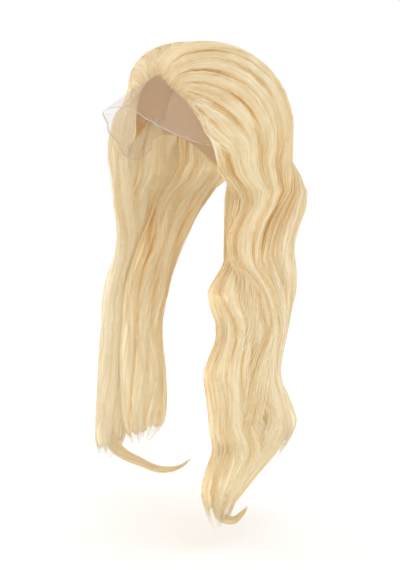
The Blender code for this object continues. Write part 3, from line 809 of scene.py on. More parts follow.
    def swept(
        self, share: np.ndarray, along: np.ndarray, root: np.ndarray | float = 0.0
    ) -> tuple[np.ndarray, np.ndarray, np.ndarray, np.ndarray]:
        """Points on the dressed surface with its ridges.

        Args:
            share: Place across the hair.
            along: Place along the hair.
            root: Where the hair starts, as in path.

        Returns:
            Surface points, seat points, outward directions and tones.
        """
        outer, seat, outward = self.surface(self.path(share, along, root))
        height, tone = self.relief(share, along)
        return outer + outward * height[..., None], seat, outward, tone

    def underside(self, along: np.ndarray) -> np.ndarray:
        """Share of the way out from the cap where the core's underside lies."""
        return 0.93 * np.clip((along - 0.75) / 0.25, 0, 1) ** 1.3

    def build(self) -> bpy.types.Object:
        """Core of this side's crown hair.

        Returns:
            The piece.
        """
        share = np.linspace(0, 1, self.columns)[None]
        along = np.linspace(0, 1, self.rows)[:, None] ** 1.2
        outer, seat, _, tone = self.swept(share, along)
        edge = np.sqrt(1 - (1 - np.clip(share / 0.03, 0, 1)) ** 2)
        edge = (0.35 + 0.65 * edge) * (0.25 + 0.75 * smooth_step(along / 0.07))
        outer = seat + (outer - seat) * edge[..., None]
        inner = seat + (outer - seat) * self.underside(along)[..., None]
        rings = np.concatenate([outer, inner[:, ::-1], outer[:, :1]], axis=1)
        middle = (outer + inner)[:: self.rows - 1] / 2
        closed = np.concatenate([middle, middle[:, ::-1], middle[:, :1]], axis=1)
        rings = np.concatenate([closed[:1], rings[1:-1], closed[1:]], axis=0)
        # The underside has a fixed gold tone, painted shade under the crown hair
        tones = np.concatenate([tone, 0.35 + 0 * tone, tone[:, :1]], axis=1)
        made = ring_core(self.name, rings, tones)
        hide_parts(self.node)
        return made


@dataclass
class Tress:
    """A hanging lock: a core with ridges, from under the crown hair to its tip."""

    name: str
    node: str
    rows: tuple
    crown: CrownHair
    # Turns between which it is rooted, and its share of the room under the crown hair
    root_front: float
    root_back: float
    root_inner: float = 0.0
    root_outer: float = 1.0
    top: float = -0.100
    # Patch of gold painted shade where locks meet: place across, level and depth of its tone
    shade_patch: tuple = (0.5, -0.2, 0.0)
    # Ridges across, and their depths
    counts: tuple = (3, 8, 21)
    depths: tuple = (0.0022, 0.0008, 0.0003)
    # Tone, what it gains at the bottom as painted light, and what it loses at the edges as painted
    # shade
    tone: float = 0.70
    low_tone: float = 0.16
    shade: float = 0.16
    # Widths of the edges' painted shade, size of the patch of painted shade, and the level and span
    # over which the bottom gains its painted light
    edge_widths: tuple = (0.06, 0.10)
    shade_patch_size: tuple = (0.22, 0.045)
    low_level: float = -0.30
    low_span: float = 0.18
    # How far the core ends above the tip, and the teeth of its ragged end
    tip: float = 0.022
    teeth: int = 5
    tooth: float = 0.030
    # The core's broad waves, how strands sway on it, and how far they pass its tip
    wave: float = 0.0016
    waves: float = 4.6
    sway: float = 0.014
    fringe: float = 0.003
    columns: int = 88
    stations: int = 84

    def frame_at(self, u: np.ndarray, z: np.ndarray) -> tuple[np.ndarray, np.ndarray, np.ndarray]:
        """Middle line of the hanging lock.

        Args:
            u: 0 at the front edge, 1 at the back edge.
            z: Level.

        Returns:
            Middle points, outward directions and half thickness.
        """
        u, z = np.broadcast_arrays(u, z)
        front, back = (
            np.stack([table_curve(self.rows, z, c), table_curve(self.rows, z, c + 1), z], -1)
            for c in (1, 3)
        )
        chord = back - front
        outward = unit(np.stack([chord[..., 1], -chord[..., 0], 0 * z], -1))
        middle = (front + back) / 2
        facing = np.sign((outward[..., :2] * middle[..., :2]).sum(-1))[..., None]
        outward = outward * facing
        spread = np.clip(1 - np.abs(2 * u - 1) ** 2.4, 0, 1) ** 0.6
        half = EDGE_HALF + (table_curve(self.rows, z, 6) / 2 - EDGE_HALF) * spread
        bow = table_curve(self.rows, z, 5) * 4 * u * (1 - u)
        return front + chord * u[..., None] + outward * bow[..., None], outward, half

    def rooted(self, u: np.ndarray, side: np.ndarray, z: np.ndarray) -> np.ndarray:
        """Points in the zone tucked under the crown hair.

        Args:
            u: 0 at the front edge, 1 at the back edge.
            side: 0 inside, 1 outside.
            z: Level.

        Returns:
            Points.
        """
        turn = np.abs(self.root_front + (self.root_back - self.root_front) * u)
        turn, side, z = np.broadcast_arrays(turn, side, z)
        run = np.minimum(level_run(z), self.crown.rim_run(turn))
        seat, depth = self.crown.slice_inner(turn, run)
        size = np.linalg.norm(depth, axis=-1)
        room = np.maximum(size - LAYER_GAP, 0.5 * size)
        share = self.root_inner + (self.root_outer - self.root_inner) * side
        point = seat + depth / np.maximum(size, 1e-9)[..., None] * (room * share)[..., None]
        return np.concatenate([point[..., :2], z[..., None]], axis=-1)

    def ring(self, w: np.ndarray, z: np.ndarray) -> tuple[np.ndarray, np.ndarray]:
        """Points round the lock.

        Args:
            w: 0 to 0.5 over the outside from front to back, then 1 back along the inside.
            z: Level.

        Returns:
            Points, and tone: pale painted highlight on the ridges, gold painted shade in the
                valleys, on the inner side, at the edges and in the shade patch, and painted light
                lower down.
        """
        w, z = np.broadcast_arrays(np.asarray(w, float) % 1.0, np.asarray(z, float))
        u = (1 - np.cos(2 * math.pi * w)) / 2
        outside = np.sin(2 * math.pi * w)
        side = np.where(outside >= 0, 1.0, 0.0)
        sense = 2 * side - 1
        middle, outward, half = self.frame_at(u, z)
        along = (self.top - z) / (self.top - self.rows[-1][0])
        ridges = lock_relief(u + 0.37 * (1 - side), along, self.counts, self.depths)
        # Painted shade and highlight: pale on the ridges, gold in the valleys, and a little darker
        # on the inner side
        tone = self.tone + 0.50 * ridges / sum(self.depths) - 0.06 * (1 - side)
        front, back = self.edge_widths
        edges = np.exp(-((u / front) ** 2)) + np.exp(-(((1 - u) / back) ** 2))
        place, level, depth = self.shade_patch
        wide, high = self.shade_patch_size
        shade_patch = np.exp(-(((u - place) / wide) ** 2 + ((z - level) / high) ** 2))
        low = smooth_step((self.low_level - z) / self.low_span)
        # Painted shade at the edges and in the patch where locks meet, and painted light that
        # lightens the lower part
        tone = tone - self.shade * edges - depth * shade_patch + self.low_tone * low
        broad = self.wave * np.sin(2 * math.pi * self.waves * along + 2.0 * u)
        room = np.minimum(half / 0.008, 1.0) * smooth_step(np.abs(outside) / 0.35)
        ridges = (ridges + broad * sense) * room
        hanging = middle + outward * ((half + ridges) * sense)[..., None]
        turn = np.abs(self.root_front + (self.root_back - self.root_front) * u)
        rim = table_curve(self.crown.rim, turn, 1)
        share = smooth_step((rim - ROOT_TUCK - z) / ROOT_BLEND)[..., None]
        return self.rooted(u, side, z) * (1 - share) + hanging * share, tone

    def skin(self, w: np.ndarray, z: np.ndarray) -> tuple[np.ndarray, np.ndarray, np.ndarray]:
        """Surface of the lock.

        Args:
            w: Place round the lock.
            z: Level.

        Returns:
            Surface points, the directions out of the surface there, and tones.
        """
        here, tone = self.ring(w, z)
        around = self.ring(np.asarray(w) + 0.01, z)[0] - self.ring(np.asarray(w) - 0.01, z)[0]
        out = unit(np.cross(np.array([0.0, 0.0, -1.0]), around))
        middle, _, _ = self.frame_at(np.full(np.shape(w), 0.5), z)
        flip = np.sign((out * (here - middle)).sum(-1, keepdims=True))
        return here, out * np.where(flip == 0, 1, flip), tone

    def build(self) -> bpy.types.Object:
        """Core of the lock, ragged where the strands run on to the tip.

        Returns:
            The piece.
        """
        bottom = self.rows[-1][0] + self.tip
        s = np.linspace(0, 1, self.stations)[:, None]
        w = np.linspace(0, 1, self.columns + 1)[None]
        z = self.top + (bottom - self.top) * s
        teeth = np.abs(np.cos(math.pi * self.teeth * (1 - np.cos(2 * math.pi * w)) / 2 + 0.6))
        rings, tones = self.ring(w, z + self.tooth * teeth * s**5)
        half = self.columns // 2
        ends = []
        for row in (0, -1):
            outer, inner = rings[row, : half + 1], rings[row, half:][::-1]
            line = (outer + inner) / 2
            ends.append(np.concatenate([line, line[::-1][1:]])[None])
        rings = np.concatenate([ends[0], rings[1:-1], ends[1]], axis=0)
        made = ring_core(self.name, rings, tones)
        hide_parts(self.node)
        return made


@dataclass
class Strands:
    """Fine strands over the cores."""

    crowns: dict[str, CrownHair]
    tresses: dict[str, Tress]
    seed: int = SEED
    radius: float = 0.00034
    # Clumps round a lock, and how far strands are drawn to a clump's middle, at first and more
    clumps: int = 30
    gathered: tuple = (0.10, 0.38)
    tip_spread: float = 0.030
    # Most that the tone of a clump, and of one strand in it, may differ
    clump_tone: float = 0.12
    strand_tone: float = 0.13
    # Share of its radius that a strand lies off the surface, and how far one may stray
    lie: float = 0.4
    crown_stray: float = 0.0012
    tress_stray: float = 0.0022
    hidden_stray: float = 0.0018
    # How deep the roots start under the cap's surface
    root_depth: float = 0.0014

    def __post_init__(self) -> None:
        """Start the seeded generator that places every strand."""
        self.chance = np.random.default_rng(self.seed)

    def thickness(self, strands: int, steps: int, scale: float = 1.0) -> np.ndarray:
        """Radius of each strand, thin at the root and drawn out at the tip.

        Args:
            strands: How many strands.
            steps: Points on each.
            scale: Share of the usual radius.

        Returns:
            Radii, as strands by points.
        """
        along = np.linspace(0, 1, steps)[None]
        shape = 0.55 + 0.45 * smooth_step(along / 0.08)
        shape = shape * (1 - 0.75 * smooth_step((along - 0.85) / 0.15))
        return self.radius * scale * shape * self.chance.uniform(0.8, 1.25, (strands, 1))

    def own_tone(self, keys: np.ndarray) -> np.ndarray:
        """Tone that sets a clump and each of its strands a little apart.

        Args:
            keys: Clump of each strand.

        Returns:
            Tones to add, one a strand.
        """
        clump = self.chance.uniform(-self.clump_tone, self.clump_tone, int(keys.max()) + 1)[keys]
        own = self.chance.uniform(-self.strand_tone, self.strand_tone, len(keys))
        return (clump + own)[:, None]

    def loose_tone(self, count: int) -> np.ndarray:
        """Tones to add to strands that are not gathered."""
        return self.own_tone(np.arange(count) % LOOSE_GROUPS)

    def stray(self, count: int, most: float) -> np.ndarray:
        """How far strands stand off, few of them far."""
        return self.chance.random((count, 1)) ** 2 * most

    def fall(
        self, tress: Tress, start: np.ndarray, first: np.ndarray, steps: int, stray: float
    ) -> tuple[np.ndarray, np.ndarray]:
        """Lower part of strands, gathered into clumps on a lock.

        Args:
            tress: Lock they lie on.
            start: Place round the lock where each begins.
            first: Level where each begins.
            steps: Points on each.
            stray: How far strands may stand off.

        Returns:
            Points, as strands by points by 3, and tones.
        """
        strands = len(start)
        key = np.floor((start % 1.0) * self.clumps).astype(int)
        centre = (key + 0.5) / self.clumps
        ends = self.chance.uniform(0.0, self.tip_spread, self.clumps)[key]
        last = tress.rows[-1][0] - tress.fringe + ends * 0.5
        last = last + self.tip_spread * self.chance.random(strands) ** 1.5
        t = np.linspace(0, 1, steps)[None]
        z = first[:, None] + (last - first)[:, None] * t
        gather = self.gathered[0] + self.gathered[1] * smooth_step(t)
        w = start[:, None] + (centre - start)[:, None] * gather
        phase = 2 * math.pi * 1.6 * centre + self.chance.uniform(0, 1.2, self.clumps)[key]
        swing = np.sin(2 * math.pi * 3.1 * t + phase[:, None])
        w = w + tress.sway * swing * smooth_step(t / 0.2)
        own = self.chance.uniform(0, 2 * math.pi, (strands, 1))
        w = w + 0.003 * np.sin(2 * math.pi * 4.3 * t + own)
        curl = self.chance.uniform(-0.03, 0.03, self.clumps)[key][:, None]
        curl = curl + self.chance.uniform(-0.02, 0.02, (strands, 1))
        w = w + curl * smooth_step((t - 0.86) / 0.14)
        here, out, tone = tress.skin(w, z)
        off = self.stray(strands, stray)
        off = off * (0.6 + 0.4 * np.sin(2 * math.pi * 1.7 * t + own)) + self.radius * self.lie
        return here + out * off[..., None], tone + self.own_tone(key)

    def swept(
        self, side: str, name: str, count: int, bundle: StrandBundle,
        crown_steps: int, tress_steps: int = 21,
    ) -> None:
        """Long strands over the crown and down the lock that hangs from its rim.

        Args:
            side: Crown that they start on.
            name: Lock that they continue on.
            count: How many.
            bundle: Mesh that they join.
            crown_steps: Points over the crown.
            tress_steps: Points down the lock.
        """
        crown, tress = self.crowns[side], self.tresses[name]
        shares = np.linspace(0, 1, 2001)
        turns = table_curve(crown.flow, shares, 3)
        front, back = abs(tress.root_front), abs(tress.root_back)
        inside = shares[(turns >= min(front, back) - 3) & (turns <= max(front, back) + 2)]
        share = self.chance.uniform(inside[0], inside[-1], count)
        along = np.linspace(0, 1, crown_steps)[None] ** 1.15
        wobble = 0.003 * np.sin(2 * math.pi * (1.5 * along + self.chance.random((count, 1))))
        root = 1.7 * self.chance.random((count, 1)) ** 2 * (1 - along)
        outer, seat, outward, tone = crown.swept(
            np.clip(share[:, None] + wobble * along, 0, 1), along, root
        )
        off = self.stray(count, self.crown_stray) + self.radius * self.lie
        upper = outer + outward * off[..., None]
        bend = -(np.diff(upper, 2, axis=1) * outward[:, 1:-1]).sum(-1) / 8
        upper[:, 1:-1] += outward[:, 1:-1] * np.maximum(bend, 0)[..., None]
        rise = smooth_step(along / 0.06)[..., None]
        upper = (seat - outward * self.root_depth) * (1 - rise) + upper * rise
        turn = table_curve(crown.flow, share, 3)
        u = np.clip((turn - front) / (back - front), 0.004, 0.996)
        w = np.arccos(1 - 2 * u) / (2 * math.pi)
        first = upper[:, -1, 2] - 0.004
        lower, lower_tone = self.fall(tress, w, first, tress_steps, self.tress_stray)
        gap = upper[:, -1] - lower[:, 0]
        fade = 1 - smooth_step(np.linspace(0, 1, tress_steps) / 0.34)[None, :, None]
        lower = lower + gap[:, None] * fade
        key = np.floor(share * 60).astype(int)
        tone = tone + self.own_tone(key)
        tone = tone + (lower_tone[:, :1] - tone) * smooth_step((along - 0.6) / 0.4)
        paths = np.concatenate([upper, lower[:, 1:]], axis=1)
        tones = np.concatenate([tone, lower_tone[:, 1:]], axis=1)
        bundle.add(paths, self.thickness(count, paths.shape[1]), tones)

    def swept_over(self, count: int, bundle: StrandBundle, steps: int = 14) -> None:
        """Strands from the right of the hairline, straight back over the parting.

        Args:
            count: How many.
            bundle: Mesh that they join.
            steps: Points on each.
        """
        left, right = self.crowns["left"], self.crowns["right"]
        spread = self.chance.random((count, 1)) ** 0.8
        # They start from turn -46 on the right to turn 16 on the left, and end behind the right
        first = -46 + 62 * spread
        tilt = table_curve(HAIRLINE, np.abs(first), 1) + self.chance.uniform(-3, 1, (count, 1))
        start = left.unparted(direction(first, tilt))
        end = direction(-150 - 62 * spread, 58 + 22 * self.chance.random((count, 1)))
        t = np.linspace(0, 1, steps)[None, :, None] * self.chance.uniform(0.7, 1, (count, 1, 1))
        backward = unit(np.array([0, 1, 0]) - start * start[..., 1:2])
        upward = unit(np.array([0, 0, 1]) - end * end[..., 2:3])
        chord = np.linalg.norm(end - start, axis=-1, keepdims=True)
        near_start = start + 0.42 * chord * backward
        near_end = end + 0.40 * chord * upward
        path = bent_line(start, near_start, near_end, end, t)
        right_side = (path[..., :1] < 0).astype(float)
        on_left, seat, outward = left.surface(path, 0.0)
        on_right = right.surface(path, 0.0)[0]
        outer = on_left * (1 - right_side) + on_right * right_side
        along = np.linspace(0, 1, steps)[None]
        off = self.stray(count, self.crown_stray)
        off = off + 0.0006 - 0.0028 * smooth_step((along - 0.8) / 0.2)
        rise = smooth_step(along / 0.08)[..., None]
        paths = (seat - outward * self.root_depth) * (1 - rise)
        paths = paths + (outer + outward * off[..., None]) * rise
        key = np.floor(spread[:, 0] * 24).astype(int)
        # Darker at the roots, painted shade where the strands leave the cap
        tones = 0.76 + self.own_tone(key) - 0.12 * (1 - rise[..., 0])
        bundle.add(paths, self.thickness(count, steps), tones)

    def front_end(
        self, side: str, name: str, count: int, bundle: StrandBundle,
        upper_steps: int = 11, lower_steps: int = 13,
    ) -> None:
        """Strands over the front end of the crown hair, drawn on down the edge of a lock.

        Args:
            side: Crown.
            name: Lock.
            count: How many.
            bundle: Mesh that they join.
            upper_steps: Points over the crown.
            lower_steps: Points on the lock.
        """
        crown, tress = self.crowns[side], self.tresses[name]
        share = 0.045 * self.chance.random((count, 1)) ** 2
        along = np.linspace(0.02, 1, upper_steps)[None]
        outer, seat, _, tone = crown.swept(share, along)
        deep = self.chance.uniform(0.0, 1.0, (count, 1))
        level = deep + 0.3 * (1 - deep) * crown.underside(along)
        upper = seat + (outer - seat) * level[..., None]
        ahead = np.array([0.4, -1.0, 0.0]) * (0.0010 + 0.0016 * self.chance.random((count, 1, 1)))
        upper = upper + ahead * smooth_step(along / 0.25)[..., None]
        w = 0.06 * deep - 0.26 * (1 - deep)
        s = np.linspace(0, 1, lower_steps)[None]
        z = upper[:, -1:, 2] - 0.005 - self.chance.uniform(0.18, 0.36, (count, 1)) * s
        here, out, lower_tone = tress.skin(w + 0.01 * np.sin(7 * s + 9 * deep), z)
        here = here + out * (0.0012 - 0.0030 * smooth_step((s - 0.85) / 0.15))[..., None]
        gap = upper[:, -1] - here[:, 0]
        lower = here + gap[:, None] * (1 - smooth_step(s / 0.5))[..., None]
        paths = np.concatenate([upper, lower[:, 1:]], axis=1)
        tones = np.concatenate([tone, lower_tone[:, 1:] + 0.1], axis=1)
        tones = tones + self.own_tone(np.floor(deep[:, 0] * 12).astype(int))
        bundle.add(paths, self.thickness(count, paths.shape[1]), tones)

    def lying(
        self, name: str, count: int, bundle: StrandBundle, inside: bool = False, steps: int = 23
    ) -> None:
        """Strands that start under the crown hair and lie on one lock.

        Args:
            name: Lock.
            count: How many.
            bundle: Mesh that they join.
            inside: Whether they lie on the lock's inner side.
            steps: Points on each.
        """
        tress = self.tresses[name]
        spread = self.chance.random(count)
        w = np.arccos(1 - 2 * np.clip(spread, 0.002, 0.998)) / (2 * math.pi)
        w = 1 - w if inside else w
        first = np.full(count, tress.top + (0.012 if inside else -0.03))
        first = first - self.chance.random(count) * 0.01
        paths, tones = self.fall(tress, w, first, steps, self.hidden_stray)
        bundle.add(paths, self.thickness(count, steps), tones)

    def bridging(
        self, names: tuple[str, str], places: tuple, mixes: tuple, levels: tuple, count: int,
        bundle: StrandBundle, rise: float = 0.0015, steps: int = 15,
    ) -> None:
        """Strands that pass from one lock over to its neighbour, or fill the seam between.

        Args:
            names: The two locks.
            places: Range of places round each lock, as two pairs.
            mixes: Share of the second lock at the top and at the bottom, as two pairs.
            levels: Top and bottom level.
            count: How many.
            bundle: Mesh that they join.
            rise: How far they stand over the locks half way.
            steps: Points on each.
        """
        one, two = (self.tresses[name] for name in names)
        t = np.linspace(0, 1, steps)[None]
        spread = self.chance.random((count, 1))
        key = np.floor(spread[:, 0] * 9).astype(int)
        own = self.chance.uniform(0, 2 * math.pi, (count, 1))
        shift = self.chance.uniform(-0.018, 0.018, (count, 1))
        top, bottom = levels
        z = top + shift + (bottom - top) * t
        low = min(one.rows[-1][0], two.rows[-1][0]) - 0.002
        z = np.maximum(z, low + 0.004 * spread)
        sides = []
        for lock, (near, far) in zip((one, two), places):
            w = near + (far - near) * spread + 0.008 * np.sin(2 * math.pi * 1.4 * t + own)
            sides.append(lock.skin(w, np.maximum(z, lock.rows[-1][0])))
        (first, first_out, first_tone), (second, second_out, second_tone) = sides
        start = self.chance.uniform(*mixes[0], (count, 1))
        end = self.chance.uniform(*mixes[1], (count, 1))
        mix = (start + (end - start) * t)[..., None]
        paths = first * (1 - mix) + second * mix
        out = unit(first_out * (1 - mix) + second_out * mix)
        off = rise * np.sin(math.pi * t) + self.stray(count, 0.0016)
        off = off - 0.0035 * (1 - smooth_step(t / 0.15)) - 0.0025 * smooth_step((t - 0.85) / 0.15)
        paths = paths + out * off[..., None]
        mix = mix[..., 0]
        tones = first_tone * (1 - mix) + second_tone * mix + self.own_tone(key)
        bundle.add(paths, self.thickness(count, steps), tones)

    def wisp(self, rows: tuple, count: int, bundle: StrandBundle, steps: int = 22) -> None:
        """Strands of a thin curl, drawn together at its tip.

        Args:
            rows: The curl's middle line with its radius.
            count: How many.
            bundle: Mesh that they join.
            steps: Points on each.
        """
        numbered = tuple((i, *row) for i, row in enumerate(rows))
        t = np.linspace(0, 1, steps)[None] * self.chance.uniform(0.72, 1.0, (count, 1))
        at = t * (len(rows) - 1)
        line = np.stack([table_curve(numbered, at, c) for c in (1, 2, 3)], -1)
        radius = table_curve(numbered, at, 4)
        angle = self.chance.uniform(0, 2 * math.pi, (count, 1)) + 2.2 * t
        size = np.sqrt(self.chance.random((count, 1))) * radius
        ahead = unit(np.gradient(line, axis=1))
        side = unit(np.cross(ahead, np.array([0.3, 0.2, 1.0])))
        rise = np.cross(side, ahead)
        paths = line + side * (size * np.cos(angle))[..., None]
        paths = paths + rise * (size * np.sin(angle))[..., None]
        tones = 0.66 + self.loose_tone(count) + 0 * t
        bundle.add(paths, self.thickness(count, steps), tones)

    def baby_hairs(self, side: str, count: int, bundle: StrandBundle, steps: int = 9) -> None:
        """Short fine hairs along the hairline.

        Args:
            side: Crown that they belong to.
            count: How many.
            bundle: Mesh that they join.
            steps: Points on each.
        """
        crown = self.crowns[side]
        share = self.chance.uniform(0, crown.split, (count, 1))
        reach = self.chance.uniform(0.08, 0.28, (count, 1))
        t = np.linspace(0, 1, steps)[None]
        drift = self.chance.uniform(-0.02, 0.02, (count, 1)) * t
        root = self.chance.uniform(0.6, 2.0, (count, 1)) * (1 - 0.7 * t)
        outer, seat, outward, tone = crown.swept(
            np.clip(share + drift, 0, 1), t * reach, root
        )
        rise = smooth_step(t * reach / 0.07)[..., None]
        paths = (seat - outward * 0.0015) * (1 - rise) + (outer + outward * 0.0004) * rise
        lift = self.chance.random((count, 1)) ** 3 * 0.003 * t**2
        paths = paths + outward * lift[..., None]
        radii = self.thickness(count, steps, 0.55)
        bundle.add(paths, radii, tone - 0.1 + self.loose_tone(count))

    def fly_aways(
        self, name: str, places: tuple, levels: tuple, reach: float, count: int,
        bundle: StrandBundle, steps: int = 12,
    ) -> None:
        """Loose single strands that stand off a lock.

        Args:
            name: Lock.
            places: Range of places round the lock.
            levels: Range of the levels where they leave it.
            reach: How far they stand off.
            count: How many.
            bundle: Mesh that they join.
            steps: Points on each.
        """
        tress = self.tresses[name]
        t = np.linspace(0, 1, steps)[None]
        first = self.chance.uniform(*levels, (count, 1))
        length = self.chance.uniform(0.06, 0.17, (count, 1))
        z = np.maximum(first - length * t, tress.rows[-1][0])
        own = self.chance.uniform(0, 2 * math.pi, (count, 1))
        w = self.chance.uniform(*places, (count, 1)) + 0.012 * np.sin(6 * t + own)
        here, out, tone = tress.skin(w, z)
        off = self.chance.random((count, 1)) * reach * np.sin(math.pi * t**0.8)
        off = off + 0.0015 * np.sin(2 * math.pi * 2.2 * t + own) * t - 0.001 * (1 - t)
        radii = self.thickness(count, steps, 0.6)
        bundle.add(here + out * off[..., None], radii, tone + self.loose_tone(count))


def add_node(
    tree: bpy.types.NodeTree, kind: str, values: dict | None = None, **settings: object
) -> bpy.types.Node:
    """Add one shader node.

    Args:
        tree: Tree that it joins.
        kind: Its kind, without the usual prefix.
        values: Fixed values of its inputs, by name or number.
        settings: Its own settings.

    Returns:
        The node.
    """
    made = tree.nodes.new(f"ShaderNode{kind}")
    for key, value in settings.items():
        setattr(made, key, value)
    for key, value in (values or {}).items():
        made.inputs[key].default_value = value
    return made


def join(tree: bpy.types.NodeTree, *pairs: tuple) -> None:
    """Link each output to the input beside it."""
    for output, target in pairs:
        tree.links.new(output, target)


def mask_group(
    name: str, given: tuple[str, ...], result: str
) -> tuple[bpy.types.NodeTree, bpy.types.Node, bpy.types.Node]:
    """Start a shared group that makes a mask.

    Args:
        name: Name of the group.
        given: Names of its inputs.
        result: Name of its output.

    Returns:
        The group, the node of its inputs and the node of its output.
    """
    tree = bpy.data.node_groups.new(name, "ShaderNodeTree")
    for label, way in [(label, "INPUT") for label in given] + [(result, "OUTPUT")]:
        tree.interface.new_socket(name=label, in_out=way, socket_type="NodeSocketFloat")
    return tree, tree.nodes.new("NodeGroupInput"), tree.nodes.new("NodeGroupOutput")


def shaded(name: str, values: dict) -> tuple[bpy.types.Material, bpy.types.Node]:
    """Start a material.

    Args:
        name: Name of the material.
        values: Values of the shader's inputs.

    Returns:
        The material and its shader.
    """
    made = bpy.data.materials.new(name)
    made.use_nodes = True
    shader = made.node_tree.nodes["Principled BSDF"]
    for key, value in values.items():
        shader.inputs[key].default_value = value
    return made, shader


def add_bumps(
    tree: bpy.types.NodeTree, shader: bpy.types.Node, mask: bpy.types.NodeSocket,
    strength: float, distance: float,
) -> None:
    """Give a shader fine relief from a mask.

    Args:
        tree: Tree of the material.
        shader: Its shader.
        mask: Mask that gives the height.
        strength: Share of the relief that shows.
        distance: Depth of the relief.
    """
    bump = add_node(tree, "Bump", {"Strength": strength, "Distance": distance})
    join(tree, (mask, bump.inputs["Height"]), (bump.outputs["Normal"], shader.inputs["Normal"]))


def hair_streaks() -> bpy.types.NodeTree:
    """Shared group: fine streaks that run along the hair on a UV map.

    Returns:
        The group.
    """
    tree, given, result = mask_group("hair_streaks", ("Count",), "Mask")
    split = add_node(tree, "SeparateXYZ")
    across = add_node(tree, "Math", operation="MULTIPLY")
    along = add_node(tree, "Math", {1: 5.0}, operation="MULTIPLY")
    place = add_node(tree, "CombineXYZ")
    fine = add_node(tree, "TexNoise", {"Scale": 1.0, "Detail": 4.0, "Roughness": 0.65})
    join(
        tree,
        (add_node(tree, "UVMap").outputs["UV"], split.inputs[0]),
        (split.outputs["X"], across.inputs[0]),
        (given.outputs["Count"], across.inputs[1]),
        (split.outputs["Y"], along.inputs[0]),
        (across.outputs[0], place.inputs["X"]),
        (along.outputs[0], place.inputs["Y"]),
        (place.outputs[0], fine.inputs["Vector"]),
        (fine.outputs["Fac"], result.inputs["Mask"]),
    )
    return tree


@dataclass(frozen=True)
class HairFinish:
    """Pale blonde hair, with gold painted shade between the locks and cream on top, partly painted
    highlight.
    """

    # The ramp runs from deep gold and gold, the painted shade of valleys, edges and undersides, to
    # pale and cream, the hair's own colour, with cream also the painted highlight on ridges
    deep: tuple[int, int, int] = (174, 120, 60)
    gold: tuple[int, int, int] = (214, 179, 120)
    pale: tuple[int, int, int] = (229, 208, 165)
    cream: tuple[int, int, int] = (237, 224, 193)
    roughness: float = 0.42
    strand_gloss: float = 0.04
    specular: float = 0.3
    # Emission in the ramp's colour, painted light that lifts the shade to a warm tint
    painted_glow: float = 0.19

    def toned(
        self, name: str, roughness: float
    ) -> tuple[bpy.types.Material, bpy.types.Node, bpy.types.Node, bpy.types.Node]:
        """Start a material that runs from deep gold to cream and also gives off that colour, as
        painted light.

        Args:
            name: Name of the material.
            roughness: Its roughness.

        Returns:
            The material, its shader, its colour ramp and its tone attribute.
        """
        made, shader = shaded(
            name,
            {
                "Roughness": roughness,
                "Specular IOR Level": self.specular,
                "Emission Strength": self.painted_glow,
            },
        )
        tree = made.node_tree
        ramp = add_node(tree, "ValToRGB")
        stops = ramp.color_ramp.elements
        stops[0].position, stops[0].color = 0.05, linear(self.deep)
        stops[1].position, stops[1].color = 0.95, linear(self.cream)
        for position, colour in ((0.35, self.gold), (0.62, self.pale)):
            stops.new(position).color = linear(colour)
        # The ramp's colour feeds the emission too: the hair gives off painted light
        for target in ("Base Color", "Emission Color"):
            tree.links.new(ramp.outputs["Color"], shader.inputs[target])
        return made, shader, ramp, add_node(tree, "Attribute", attribute_name="tone")

    def core_material(
        self, name: str, group: bpy.types.NodeTree, count: float
    ) -> bpy.types.Material:
        """Finish of the locks' cores, by their tone and by streaks.

        Args:
            name: Name of the material.
            group: The shared streaks.
            count: Streaks round the lock.

        Returns:
            The material.
        """
        made, shader, ramp, tone = self.toned(name, self.roughness)
        tree = made.node_tree
        mask = add_node(tree, "Group", {"Count": count}, node_tree=group).outputs["Mask"]
        around = add_node(tree, "Math", {1: 0.7, 2: -0.40}, operation="MULTIPLY_ADD")
        total = add_node(tree, "Math", operation="ADD")
        join(
            tree,
            (mask, around.inputs[0]),
            (around.outputs[0], total.inputs[0]),
            (tone.outputs["Fac"], total.inputs[1]),
            (total.outputs[0], ramp.inputs["Fac"]),
        )
        add_bumps(tree, shader, mask, 0.4, 0.0004)
        return made

    def strand_material(self) -> bpy.types.Material:
        """Finish of the strands, by their tone.

        Returns:
            The material.
        """
        made, _, ramp, tone = self.toned("hair_strands", self.roughness - self.strand_gloss)
        join(made.node_tree, (tone.outputs["Fac"], ramp.inputs["Fac"]))
        return made


@dataclass(frozen=True)
class NetFinish:
    """Fine net of crossing threads with a firmer free edge."""

    thread: tuple[int, int, int]
    cells: tuple[float, float]
    open_alpha: float
    thread_alpha: float
    between: tuple[int, int, int] | None = None
    hem: float = 2.0
    roughness: float = 0.6

    def material(self, name: str, group: bpy.types.NodeTree) -> bpy.types.Material:
        """Net as a material.

        Args:
            name: Name of the material.
            group: The shared net pattern.

        Returns:
            The material.
        """
        made, shader = shaded(name, {"Roughness": self.roughness})
        tree = made.node_tree
        net = {"Across": self.cells[0], "Along": self.cells[1], "Hem": self.hem}
        mask = add_node(tree, "Group", net, node_tree=group).outputs["Thread"]
        colours = {"A": linear(self.between or self.thread), "B": linear(self.thread)}
        colour = add_node(tree, "Mix", colours, data_type="RGBA")
        join(
            tree,
            (mask, colour.inputs["Factor"]),
            (colour.outputs["Result"], shader.inputs["Base Color"]),
        )
        if self.open_alpha < 1:
            alphas = {"To Min": self.open_alpha, "To Max": self.thread_alpha}
            see = add_node(tree, "MapRange", alphas)
            join(tree, (mask, see.inputs["Value"]), (see.outputs["Result"], shader.inputs["Alpha"]))
        add_bumps(tree, shader, mask, 0.5, 0.0003)
        return made


